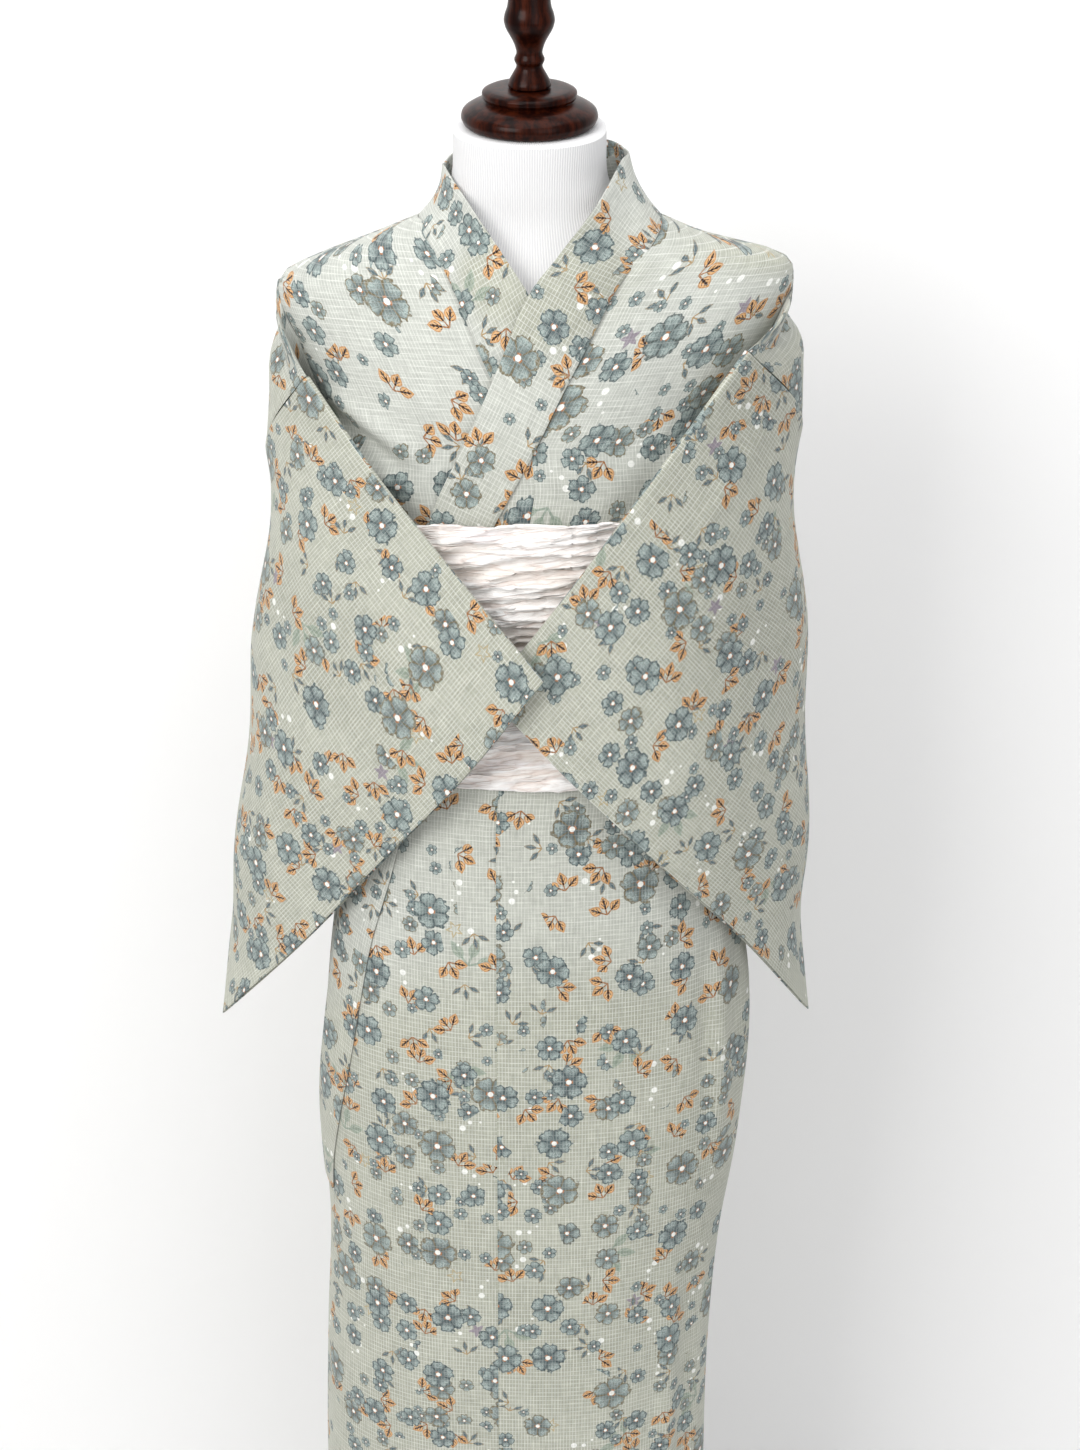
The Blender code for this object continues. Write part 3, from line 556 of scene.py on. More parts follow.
def collar_row(sewn, free, bulge):
    """Sewn edge, a middle that bulges outward or falls in a little, and free edge of the standing collar."""
    sewn = sewn - np.array((0.0, 0.0, SEWN_EDGE_DROP if bulge < 0 else 0.0))
    row = [sewn]
    for share in (1 / 3, 2 / 3):
        point = sewn + (np.array(free) - sewn) * share
        flat = point * np.array((1.0, 1.0, 0.0))
        row.append(point + flat / np.linalg.norm(flat) * bulge)
    return np.vstack(row + [np.array(free)])


stations = [band_station(over_seam_x, z, over_band_lift(z), -1) for z in BAND_MARKS]
for z, *free in reversed(OVER_COLLAR):
    stations.append(collar_row(robe_points(angle_at_x(over_seam_x(z), z), z, over_band_lift(z)), free,
                               FRONT_BULGE if z < 1.60 else -0.003))
for degrees, z, *free in BACK_COLLAR:
    stations.append(collar_row(robe_points(math.radians(degrees), z, NECK_BAND_LIFT), free, -0.005))
for z, *free in UNDER_COLLAR:
    stations.append(collar_row(robe_points(angle_at_x(under_seam_x(z), z), z, under_band_lift(z)), free,
                               FRONT_BULGE if z < 1.60 else -0.004))
stations += [band_station(under_seam_x, z, under_band_lift(z), 1) for z in reversed(BAND_MARKS)]
band = resample(np.array(stations), 420, 12)
band_cut = np.stack((lengths_along(band, 1), lengths_along(band, 0).mean(axis=1, keepdims=True)
                     + 0 * band[:, :, 0]), axis=-1) + np.array((4.3, 0.1))
pieces["collar_band"] = cloth("collar_band", band, band_cut, BAND_CLOTH, from_axis,
                              behind=painted_show_through_share(band))
print("collar band length, m:", round(float(band_cut[-1, 0, 1] - band_cut[0, 0, 1]), 3))

# %% [markdown]
# ## Sleeves
#
# Each sleeve is a flat bag, folded along its top, about half a metre deep. Here the two bags are drawn
# forward so that their front corners meet. Four stations from armhole to cuff, with five points each,
# hold the outer layer; the inner layer follows it at a small distance.

# %% Sleeve bags
SLEEVE_RIGHT = np.array((
    ((-0.177, -0.072, 1.507), (-0.216, 0.010, 1.437), (-0.208, 0.095, 1.350), (-0.224, 0.150, 1.240),
     (-0.245, 0.205, 1.130)),
    ((-0.118, -0.124, 1.440), (-0.183, -0.062, 1.362), (-0.234, 0.020, 1.270), (-0.248, 0.085, 1.165),
     (-0.257, 0.137, 1.063)),
    ((-0.054, -0.158, 1.370), (-0.120, -0.124, 1.280), (-0.185, -0.076, 1.185), (-0.252, -0.010, 1.090),
     (-0.274, 0.065, 0.992)),
    ((0.009, -0.180, 1.298), (-0.055, -0.152, 1.206), (-0.125, -0.116, 1.118), (-0.198, -0.066, 1.020),
     (-0.276, -0.010, 0.926)),
))
SLEEVE_LEFT = np.array((
    ((0.170, -0.094, 1.531), (0.220, 0.000, 1.462), (0.214, 0.090, 1.370), (0.221, 0.145, 1.255),
     (0.233, 0.198, 1.145)),
    ((0.100, -0.140, 1.450), (0.168, -0.092, 1.370), (0.230, 0.010, 1.285), (0.238, 0.080, 1.180),
     (0.241, 0.135, 1.074)),
    ((0.034, -0.157, 1.366), (0.101, -0.142, 1.292), (0.169, -0.098, 1.200), (0.234, -0.012, 1.103),
     (0.246, 0.065, 1.002)),
    ((-0.033, -0.154, 1.279), (0.033, -0.153, 1.205), (0.105, -0.138, 1.128), (0.178, -0.090, 1.040),
     (0.248, -0.014, 0.932)),
))
SLEEVE_RIPPLE = 0.0012
SPACE_AT_BODY = np.array((0.006, 0.009, 0.016, 0.014, 0.010))
SPACE_AT_CUFF = np.array((0.0040, 0.0045, 0.0040, 0.0012, 0.0010))
SLEEVE_CREASES = {
    "sleeve_right": (
        (-0.215, 1.40, -0.235, 1.15, 0.0022, 0.010), (-0.150, 1.42, -0.205, 1.22, 0.0018, 0.014),
        (-0.235, 1.25, -0.245, 1.02, -0.0020, 0.012), (-0.110, 1.36, -0.150, 1.16, 0.0012, 0.016),
        (-0.190, 1.12, -0.235, 1.00, 0.0014, 0.012)),
    "sleeve_left": (
        (0.185, 1.47, 0.120, 1.39, 0.0024, 0.008), (0.215, 1.44, 0.225, 1.20, 0.0020, 0.011),
        (0.175, 1.40, 0.200, 1.22, -0.0016, 0.013), (0.225, 1.25, 0.238, 1.04, 0.0018, 0.012),
        (0.100, 1.34, 0.130, 1.18, 0.0012, 0.015), (0.185, 1.14, 0.225, 1.02, 0.0014, 0.012)),
}


def spans_of(points, share):
    """Points with one more at each end, and the span and the part of it where each share lies."""
    padded = np.concatenate((2 * points[:1] - points[1:2], points, 2 * points[-1:] - points[-2:-1]))
    place = np.clip(np.asarray(share, dtype=float), 0.0, 1.0) * (len(points) - 1)
    span = np.minimum(place.astype(int), len(points) - 2)
    return padded, span, place - span


def spline(points, share):
    """Smooth curves through evenly spaced points, read at shares from 0 to 1 of their length."""
    padded, span, part = spans_of(np.asarray(points, dtype=float), share)
    part = part.reshape(part.shape + (1,) * (padded.ndim - 1))
    return cubic(*(padded[span + shift] for shift in range(4)), part)


def sleeve_surface(stations, along, down):
    """Points of the outer layer; along goes from armhole to cuff, down from the folded top edge."""
    along, down = np.broadcast_arrays(np.asarray(along, float), np.asarray(down, float))
    lines, span, part = spans_of(np.stack([spline(station, down) for station in stations]), along)
    beside = (np.take_along_axis(lines, (span + shift)[None, ..., None], axis=0)[0] for shift in range(4))
    return cubic(*beside, part[..., None])


def sleeve_normal(stations, along, down, side):
    """The outward direction of the outer layer, from its slopes over a small step."""
    step = 0.02
    ahead, behind, below, above = (
        sleeve_surface(stations, np.clip(along + move, 0.0, 1.0), np.clip(down + fall, 0.0, 1.0))
        for move, fall in ((step, 0), (-step, 0), (0, step), (0, -step)))
    normal = np.cross(ahead - behind, below - above)
    return normal / np.linalg.norm(normal, axis=-1, keepdims=True) * side


def sleeve_space(along, down):
    at_body = spline(SPACE_AT_BODY[:, None], down)[..., 0]
    at_cuff = spline(SPACE_AT_CUFF[:, None], down)[..., 0]
    return at_body + (at_cuff - at_body) * along


def sleeve(name, stations, side, start, seed):
    """A bag whose loops run down the outer layer and back up the inner one."""
    lengths, count = 64, 168
    along, turn = np.meshgrid(np.linspace(0, 1, lengths + 1),
                              2 * math.pi * (np.arange(count + 1) + 0.5) / count, indexing="ij")
    down = 0.5 - 0.5 * signed_power(np.cos(turn), 0.75)
    space = sleeve_space(along, down) + CLOTH
    reach = signed_power(np.sin(turn), 0.45) * space
    normal = sleeve_normal(stations, along, down, side)
    grid = sleeve_surface(stations, along, down) + normal * (reach - space)[..., None]
    flat = grid.copy()
    outer = np.clip(np.sin(turn) * 1.6, 0.0, 1.0)
    rise = crease_height(flat * np.array((1.0, 0.0, 1.0)), SLEEVE_CREASES[name])
    rise += SLEEVE_RIPPLE * soft_noise(grid.shape[:2], (3, 9), seed) * np.sin(math.pi * along)
    grid = grid + normal * (rise * outer)[..., None]
    cut = np.stack((lengths_along(flat, 0).mean(axis=1, keepdims=True) + 0 * turn,
                    -lengths_along(flat, 1).mean(axis=0, keepdims=True) + 0 * turn), axis=-1)
    centre = flat.mean(axis=1)

    def outward(points):
        nearest = np.argmin(np.linalg.norm(points[:, None] - centre[None], axis=-1), axis=1)
        return points - centre[nearest]

    return cloth(name, grid, cut + np.array(start), CLOTH, outward, ring=True)


pieces["sleeve_right"] = sleeve("sleeve_right", SLEEVE_RIGHT, -1, (5.1, 0.9), 21)
pieces["sleeve_left"] = sleeve("sleeve_left", SLEEVE_LEFT, 1, (5.9, 1.7), 22)
print("sleeve faces:", len(pieces["sleeve_left"].data.polygons))

# %% [markdown]
# ## The strip past the shoulder
#
# A yukata is cut wider than the shoulders, so the outer strip of each width hangs off the shoulder like a
# short cap, down to the seam where the sleeve begins. In front it bows out softly under its own weight.

# %% Drop strips
ARMHOLE_DEPTH = 0.47
DROP_TOP_Z = 1.571
DROP_LOW_Z = 1.445
DROP_SIDE_BOW = {-1: 0.016, 1: 0.024}
DROP_BACK_BOW = 0.007
DROP_FRONT_BOW = 0.015
ARMHOLE_SEAM = 0.0012


def drop_strip(name, stations, side, start):
    """From the shoulder's edge out to the armhole seam: front half, fold and back half."""
    low = [DROP_LOW_Z, 1.47, 1.50, 1.53, 1.548, 1.562]
    places = [(-1, z) for z in low] + [(0, DROP_TOP_Z)] + [(1, z) for z in reversed(low)]
    rows = []
    for half, z in places:
        size = (DROP_TOP_Z - z) / (DROP_TOP_Z - DROP_LOW_Z)
        angle = math.pi / 2 + half * (math.pi / 2 - float(side_angle(z)) - 0.004)
        first = robe_points(side * angle, z, UNDER_LIFT)
        down = ARMHOLE_DEPTH * size
        space = float(sleeve_space(0.0, down)) + CLOTH
        reach = half * min(1.0, size / 0.15) ** 0.45 * space
        normal = sleeve_normal(stations, 0.0, down, side)
        last = sleeve_surface(stations, 0.0, down) + normal * (reach - space)
        last = last + (first - last) / np.linalg.norm(first - last) * ARMHOLE_SEAM
        if half == 1:
            aside = side * DROP_SIDE_BOW[side] * min(1.0, 5.5 * size) * (1.0 - max(0.0, size - 0.3))
            bow = np.array((aside, DROP_BACK_BOW * min(1.0, 2.0 * size), 0.0))
        else:
            at = side * math.radians(60.0)
            bow = robe_points(at, z, DROP_FRONT_BOW) - robe_surface(at, z)
            bow = bow * max(0.0, 1.0 - 2.5 * size)
        share = np.linspace(0.0, 1.0, 6)[:, None]
        rows.append(first + (last - first) * share + bow * np.sin(math.pi * share))
    grid = resample(np.array(rows), 64, 16)
    cut = cut_of(grid, start, level=False)
    return cloth(name, grid, cut, CLOTH, from_axis, behind=painted_show_through_share(grid))


pieces["drop_right"] = drop_strip("drop_right", SLEEVE_RIGHT, -1, (6.7, 0.3))
pieces["drop_left"] = drop_strip("drop_left", SLEEVE_LEFT, 1, (7.1, 0.8))
print("cloth pieces:", len(pieces))

# %% [markdown]
# ## The crinkled sash
#
# The sash is soft cotton, wound flat and dried in fine crinkles. The crinkles run along it, so the relief
# is a random field that changes quickly up the cloth and slowly round the body. The relief is real shape,
# so the light makes its own small shadows; the hollows between its ridges are also painted darker, as
# painted shade.

# %% Sash
SASH_BOTTOM_Z = 1.187
SASH_LAP_Z = 1.326
SASH_TOP_Z = 1.408
SASH_SIDE_DIP = 0.012
SASH_CLOTH = 0.0022
SASH_SLANT = 9
SASH_WANDER = 0.0022
SASH_CLIMB = 0.004
# how tall a swing of each random field is, and how many swings it makes round the body
CRINKLES = ((0.0058, 26), (0.0026, 90), (0.0170, 12))
RIDGE_RISE, FINER_RISE, BROAD_RISE = 0.0032, 0.0012, 0.0024


def wound(name, low, high, lift, rows, seed, start):
    """One turn of the sash: a ring with crinkles and gently wandering edges."""
    around = 440
    angle = math.pi - 2 * math.pi * np.arange(around + 1) / around
    edge = soft_noise((2, around + 1), (1, 14), seed)
    edge[:, -1] = edge[:, 0]
    top = high - SASH_SIDE_DIP * np.sin(angle) ** 2
    if name == "sash_upper":
        top = top + SASH_WANDER * edge[0] + SASH_CLIMB * np.sin(angle)
    share = np.linspace(0.0, 1.0, rows + 1)[:, None]
    z = low + (top - low)[None, :] * share
    angles = np.broadcast_to(angle, z.shape)
    # the crinkles climb a little towards the wearer's left, so the random field is read on a slant
    slant = np.rint(SASH_SLANT * np.sin(angle)).astype(int)
    read = np.arange(rows + 1)[:, None] + SASH_SLANT - slant[None, :]
    tall = rows + 1 + 2 * SASH_SLANT
    swings = (high - low) * tall / (rows + 1)
    fine, finer, broad = (
        np.take_along_axis(
            soft_noise((tall, around + 1), (int(swings / height), across), seed + 1 + step), read, 0)
        for step, (height, across) in enumerate(CRINKLES))
    ridge = 1.0 - 2.4 * np.abs(fine) ** 0.8
    rise = RIDGE_RISE * ridge + FINER_RISE * finer + BROAD_RISE * broad
    # the relief fades out at the back, where the ring closes
    rise = rise * (1.0 - ease(np.abs(np.arange(around + 1) / around - 0.5), 0.47, 0.5))[None, :]
    grid = robe_points(angles, z, lift - 0.0012 + rise)
    cut = cut_of(robe_points(angles, z, lift), start)
    # painted shade: how deep each point lies between the ridges, kept on the piece for the sash's material
    # to paint darker
    painted_hollow_shade = np.clip(0.55 - 0.6 * ridge, 0.0, 1.0)
    return cloth(name, grid, cut, SASH_CLOTH, from_axis, ring=True, behind=painted_hollow_shade)


pieces["sash_lower"] = wound("sash_lower", SASH_BOTTOM_Z, SASH_LAP_Z + 0.015, 0.0176, 84, 31, (0.0, 0.0))
pieces["sash_upper"] = wound("sash_upper", SASH_LAP_Z, SASH_TOP_Z, 0.0198, 48, 41, (0.3, 0.4))
print("sash faces:", {name: len(pieces[name].data.polygons) for name in ("sash_lower", "sash_upper")})

# %% [markdown]
# ## The dress form and its stand
#
# The form is a smooth padded torso under ribbed jersey, closed by a turned cap with a finial, on a pole
# and a round base. Turned wood is a profile spun round an axis. The profile's corners are cut twice, as a
# turner eases an edge, and Blender's Screw modifier spins it.

# %% Form and turned pieces
NECK_TOP_Z = 1.690
NECK_FOOT_Z = 1.640
CAP_HEIGHT = 0.0285
MERGE = 0.00001
NECK_LEAN = math.radians(10.0)
SEAM = 0.0003
CAP_PROFILE = ((0.0, CAP_HEIGHT), (0.031, CAP_HEIGHT), (0.0365, 0.026), (0.0365, 0.022), (0.034, 0.0195),
               (0.044, 0.0165), (0.0515, 0.012), (0.053, 0.007), (0.051, 0.0025), (0.048, 0.0), (0.0, 0.0))
FINIAL_PROFILE = ((0.0, 0.106), (0.005, 0.104), (0.009, 0.094), (0.0155, 0.070), (0.0165, 0.060),
                  (0.0185, 0.055), (0.0195, 0.050), (0.018, 0.044), (0.012, 0.034), (0.0095, 0.026),
                  (0.0120, 0.021), (0.0095, 0.016), (0.0130, 0.010), (0.0165, 0.004), (0.0165, 0.0),
                  (0.0, 0.0))
BASE_PROFILE = ((0.0, 0.050), (0.020, 0.050), (0.023, 0.047), (0.026, 0.034), (0.040, 0.028),
                (0.120, 0.022), (0.147, 0.018), (0.155, 0.011), (0.155, 0.004), (0.151, 0.0), (0.0, 0.0))
POLE_PROFILE = ((0.0, 0.9397), (0.0125, 0.9397), (0.0125, 0.0503), (0.0, 0.0503))


def eased(profile):
    """Cut each corner of a profile twice, but keep its two ends on the axis."""
    for _ in range(2):
        cut = [profile[0]]
        for (r0, z0), (r1, z1) in zip(profile, profile[1:]):
            for near, far in ((0.82, 0.18), (0.18, 0.82)):
                cut.append((r0 * near + r1 * far, z0 * near + z1 * far))
        cut.append(profile[-1])
        profile = tuple(cut)
    return ((0.0, profile[0][1]),) + profile[1:-1] + ((0.0, profile[-1][1]),)


def tidied(mesh, sharp_degrees, merge=None):
    """Faces outward, corners rounded in the shading and real edges kept sharp."""
    work = bmesh.new()
    work.from_mesh(mesh)
    if merge:
        bmesh.ops.remove_doubles(work, verts=work.verts[:], dist=merge)
    bmesh.ops.recalc_face_normals(work, faces=work.faces[:])
    work.to_mesh(mesh)
    work.free()
    mesh.shade_smooth()
    mesh.set_sharp_from_angle(angle=math.radians(sharp_degrees))
    return mesh


def turned(name, profile, seat=Vector((0.0, 0.0, 0.0)), lean=0.0):
    """Spin a profile round its axis and set it on its seat."""
    mesh = bpy.data.meshes.new(name + " profile")
    points = [(radius, 0.0, height) for radius, height in profile]
    mesh.from_pydata(points, [(step, step + 1) for step in range(len(points) - 1)], [])
    line = placed(name, mesh)
    screw = line.modifiers.new("turn", "SCREW")
    screw.steps = screw.render_steps = 96
    screw.use_merge_vertices = True
    screw.merge_threshold = MERGE
    graph = bpy.context.evaluated_depsgraph_get()
    spun = bpy.data.meshes.new_from_object(line.evaluated_get(graph))
    bpy.data.objects.remove(line)
    spun.transform(Matrix.Translation(seat) @ Matrix.Rotation(lean, 4, "X"))
    return placed(name, tidied(spun, 40, MERGE))


def padded_form():
    """The torso: level rounded sections with a leaning neck, closed at both ends."""
    around = 120
    z = np.concatenate(([0.940, 0.9415, 0.944], np.arange(0.95, 1.685, 0.0065), [1.688, 1.690]))
    half, front, back = np.moveaxis(curve_through(FORM_SECTIONS, z), -1, 0)[:, :, None]
    inset = 0.003 * ((z < 0.9405) | (z > 1.6895))[:, None] + 0.001 * ((z > 0.941) & (z < 0.942))[:, None]
    angle = -2 * math.pi * np.arange(around) / around
    x, y = section_points(half - inset, half - inset, front - inset, back - inset, angle[None, :])
    lean = np.maximum(0.0, (z - NECK_FOOT_Z) / (NECK_TOP_Z - NECK_FOOT_Z))[:, None] * math.tan(NECK_LEAN)
    points = np.stack((x, y, z[:, None] + y * lean), axis=-1)
    rows = len(z)
    faces = grid_faces(rows, around + 1, True).tolist()
    faces += [list(range(around)), list(range(rows * around - 1, (rows - 1) * around - 1, -1))]
    mesh = bpy.data.meshes.new("form_torso")
    mesh.from_pydata(points.reshape(-1, 3).tolist(), [], faces)
    return placed("form_torso", tidied(mesh, 50))


up = Matrix.Rotation(NECK_LEAN, 3, "X") @ Vector((0.0, 0.0, 1.0))
seat = Vector((0.0, 0.0, NECK_TOP_Z)) + up * SEAM
pieces["form_torso"] = padded_form()
pieces["neck_cap"] = turned("neck_cap", eased(CAP_PROFILE), seat, NECK_LEAN)
pieces["finial"] = turned("finial", eased(FINIAL_PROFILE), seat + up * (CAP_HEIGHT + SEAM), NECK_LEAN)
pieces["pole"] = turned("pole", POLE_PROFILE)
pieces["base"] = turned("base", eased(BASE_PROFILE))
print("all pieces:", sorted(pieces))

# %% [markdown]
# ## Building blocks for the print
#
# The print is drawn by the shader from the flat cut's coordinates, so it follows the threads. A Voronoi
# texture scatters one spot in each cell of a loose grid; round its spot each motif is drawn in polar
# coordinates. A wire stands for a node's output and takes plain sums and products, so a motif below
# reads like its formula.

# %% Wires and nodes


class Wire:
    """A node's output; each sum or product of it adds one Math node to its tree."""

    def __init__(self, socket):
        self.socket = socket

    def __add__(self, other):
        return calc("ADD", self, other)

    def __sub__(self, other):
        return calc("SUBTRACT", self, other)

    def __rsub__(self, other):
        return calc("SUBTRACT", other, self)

    def __mul__(self, other):
        return calc("MULTIPLY", self, other)

    def __truediv__(self, other):
        return calc("DIVIDE", self, other)

    def __pow__(self, other):
        return calc("POWER", self, other)

    def __gt__(self, other):
        return calc("GREATER_THAN", self, other)

    def __lt__(self, other):
        return calc("LESS_THAN", self, other)

    def __abs__(self):
        return calc("ABSOLUTE", self)

    def beside(self, name):
        """Another output of the same node."""
        return Wire(self.socket.node.outputs[name])


def put(socket, value):
    """Link a socket, or set its value."""
    if isinstance(value, Wire):
        socket.id_data.links.new(value.socket, socket)
    else:
        socket.default_value = value


def node(kind, inputs, output=0, **settings):
    """Add a node where its wired inputs come from; inputs go by name or number."""
    tree = next(value.socket.id_data for value in inputs.values() if isinstance(value, Wire))
    made = tree.nodes.new(kind)
    for label, value in settings.items():
        setattr(made, label, value)
    for label, value in inputs.items():
        put(made.inputs[label], value)
    return Wire(made.outputs[output])


def calc(operation, *values):
    return node("ShaderNodeMath", dict(enumerate(values)), operation=operation)


def arrow(operation, *values):
    return node("ShaderNodeVectorMath", dict(enumerate(values)), operation=operation)


def scaled(vector, scale):
    return node("ShaderNodeVectorMath", {0: vector, "Scale": scale}, operation="SCALE")


def limited(value, low, high):
    return calc("MAXIMUM", calc("MINIMUM", value, high), low)


def ramp(value, low, high):
    """A smooth step from 0 at low to 1 at high."""
    return node("ShaderNodeMapRange", {"Value": value, "From Min": low, "From Max": high},
                interpolation_type="SMOOTHSTEP")


def over(mask, below, above):
    """Paint one colour over another where the mask is 1."""
    return node("ShaderNodeMix", {0: mask, 6: below, 7: above}, output=2, data_type="RGBA")


def noise(place, stretch, detail=2.0, roughness=0.5):
    """A random field; a larger stretch makes it finer, on all axes or on each."""
    moved = arrow("MULTIPLY", place, stretch if isinstance(stretch, tuple) else (stretch,) * 3)
    inputs = {"Vector": moved, "Scale": 1.0, "Detail": detail, "Roughness": roughness}
    return node("ShaderNodeTexNoise", inputs, output="Fac")


def split(vector):
    parts = node("ShaderNodeSeparateXYZ", {0: vector})
    return parts, parts.beside(1), parts.beside(2)


FLOAT = "NodeSocketFloat"
VECTOR = "NodeSocketVector"


def group(name, **inputs):
    """A new node group with a vector input for each None and a number for each value."""
    tree = bpy.data.node_groups.new(name, "ShaderNodeTree")
    for label, value in inputs.items():
        kind = VECTOR if value is None else FLOAT
        socket = tree.interface.new_socket(label, in_out="INPUT", socket_type=kind)
        if value is not None:
            socket.default_value = value
    start = tree.nodes.new("NodeGroupInput")
    return tree, [Wire(start.outputs[label]) for label in inputs]


def give(tree, **results):
    """Give a node group its outputs."""
    for label, value in results.items():
        kind = VECTOR if value.socket.type == "VECTOR" else FLOAT
        tree.interface.new_socket(label, in_out="OUTPUT", socket_type=kind)
    end = tree.nodes.new("NodeGroupOutput")
    for label, value in results.items():
        put(end.inputs[label], value)
    return tree


def use(motif, **values):
    """Place a group where its wires come from; its outputs come back by name."""
    first = node("ShaderNodeGroup", values, node_tree=motif)
    return {socket.name: Wire(socket) for socket in first.socket.node.outputs}


def srgb(red, green, blue):
    """A colour given in screen values, as the shader's linear colour."""
    return tuple((value / 255.0) ** 2.2 for value in (red, green, blue)) + (1.0,)


print("helpers ready; pale sage in linear values:", np.round(srgb(190, 195, 182), 3))

# %% [markdown]
# ## Motif groups
#
# One group finds the spots; the others draw a blossom, a sprig of leaves, a star or a row of dots round
# them. Every size is in metres of cloth, so the scale of the print is right on each piece.

# %% Spots, blossoms, sprigs, dots and stars


def spots_group():
    """Spots scattered in a loose grid: the place round each spot and random numbers for it."""
    tree, (cut, spacing, looseness, shift) = group("scattered spots", Cut=None, Spacing=0.03, Looseness=0.7,
                                                   Shift=0.0)
    cells = arrow("DIVIDE", arrow("ADD", cut, shift), spacing)
    spot = node("ShaderNodeTexVoronoi", {"Scale": 1.0, "Vector": cells, "Randomness": looseness},
                output="Position", voronoi_dimensions="2D")
    chance, size, turn = split(spot.beside("Color"))
    away = scaled(arrow("SUBTRACT", cells, spot), spacing)
    local = node("ShaderNodeVectorRotate", {"Vector": away, "Angle": turn * 6.283}, rotation_type="Z_AXIS")
    return give(tree, Local=local, Chance=chance, Size=size, Turn=turn)


def polar(local):
    """Distance and angle of a place round its spot."""
    x, y, _ = split(local)
    return calc("SQRT", x * x + y * y), calc("ARCTAN2", y, x)


def petal_turn(angle, count):
    """0 along the middle of each petal and 1 in the gap between two."""
    return abs(calc("FRACT", angle * (count / (2 * math.pi))) * 2.0 - 1.0)


def blossom_group():
    """A five-petalled blossom: petals, dark lines, pale parts of the wash, white middle and ochre ring."""
    tree, (local, radius, size) = group("blossom", Local=None, Radius=0.014, Size=0.5)
    distance, angle = polar(local)
    radius = radius * (size * 0.45 + 0.72)
    gap = petal_turn(angle, 5)
    wave = noise(local, 330.0, 0.0)
    notch = (wave - 0.5) * 0.34 + ramp(gap, 0.22, 0.0) * 0.05
    share = distance / (radius * (1.0 - gap ** 2.6 * 0.24 - notch))
    whole = distance / radius
    petals = ramp(share, 1.03, 0.97)
    rim = petals * ramp(share, 0.84, 0.93)
    between = ramp(gap, 0.80, 0.96) * ramp(share, 0.15, 0.4)
    veins = abs(calc("SINE", wave * 9.0 + angle * 12.5))
    dark_veins = ramp(veins, 0.45, 0.0) * ramp(share, 0.85, 0.30)
    lines = calc("MAXIMUM", calc("MAXIMUM", rim, between), dark_veins * 0.8)
    return give(tree, Petals=petals, Lines=lines * petals,
                Pale=ramp(share, 0.22, 0.78) * ramp(gap, 1.0, 0.35) * (veins * 0.75 + 0.25),
                Middle=ramp(whole, 0.155, 0.125),
                Ring=ramp(whole, 0.25, 0.19) * ramp(calc("SINE", angle * 3.0), -0.4, 0.5))


def sprig_group():
    """Three leaves fanned from one stalk: their blades, dark veins, edges and the stalk."""
    tree, (local, length, width) = group("leaf sprig", Local=None, Length=0.014, Width=0.24)
    distance, angle = polar(local)
    leaf_turn = 0.95
    sector = angle / leaf_turn
    turn = (sector - limited(calc("ROUND", sector), -1.0, 1.0)) * leaf_turn
    along = distance * calc("COSINE", turn) / length
    across = abs(distance * calc("SINE", turn) / length)
    blade = (along - 0.30) / 0.70
    bulge = calc("SINE", limited(blade, 0.0, 1.0) ** 0.75 * math.pi)
    off = across - bulge * width
    blades = ramp(off, 0.02, -0.02) * ramp(bulge, 0.02, 0.10)
    middle = ramp(across, 0.060, 0.030) * ramp(blade, 0.86, 0.72)
    ribs = abs(calc("FRACT", blade * 3.2 - across * 7.0) - 0.5)
    ribs = ramp(ribs, 0.20, 0.10) * ramp(across, 0.17, 0.13) * ramp(blade, 0.75, 0.55)
    stalk = ramp(across, 0.045, 0.025) * ramp(along, 0.36, 0.32) * ramp(along, -0.02, 0.02)
    return give(tree, Blades=blades, Veins=calc("MAXIMUM", middle, ribs) * blades,
                Edges=ramp(off, -0.075, -0.035) * blades, Stalk=stalk)


def star_group():
    """A small five-pointed star, filled or as an outline."""
    tree, (local, radius) = group("small star", Local=None, Radius=0.006)
    distance, angle = polar(local)
    share = distance / (radius * (1.0 - petal_turn(angle, 5) ** 0.6 * 0.62))
    fill = ramp(share, 1.05, 0.92)
    return give(tree, Fill=fill, Outline=fill * ramp(share, 0.55, 0.78))


def dots_group():
    """Three round dots in a curved row, each smaller than the last."""
    tree, (local, radius) = group("three dots", Local=None, Radius=0.002)
    x, y, _ = split(local)
    pitch = radius * 3.4
    nearest = limited(calc("ROUND", x / pitch), -1.0, 1.0)
    dx = x - nearest * pitch
    dy = y - nearest * nearest * (pitch * 0.35)
    distance = calc("SQRT", dx * dx + dy * dy)
    return give(tree, Dots=ramp(distance / (radius * (nearest * -0.32 + 0.78)), 1.12, 0.85))


SPOTS, BLOSSOM, SPRIG, STAR, DOTS = spots_group(), blossom_group(), sprig_group(), star_group(), dots_group()
print("motif groups:", [made.name for made in (SPOTS, BLOSSOM, SPRIG, STAR, DOTS)])

# %% [markdown]
# ## Printed cotton
#
# The ground is a pale sage with a fine check of thicker white threads and uneven yarns. Over it lie, from
# the bottom up, pale twigs, dots, stars, two kinds of leaf sprig and three sizes of blossom. Where the
# white form lies close behind, the thin cotton is painted paler and cooler, as painted light showing
# through.

# %% Printed robe cotton


def new_material(name):
    made = bpy.data.materials.new(name)
    made.use_nodes = True
    return made


def source(made, kind, output, **settings):
    """An output of a node that needs no input, such as a map of the cut."""
    first = made.node_tree.nodes.new(kind)
    for label, value in settings.items():
        setattr(first, label, value)
    return Wire(first.outputs[output])


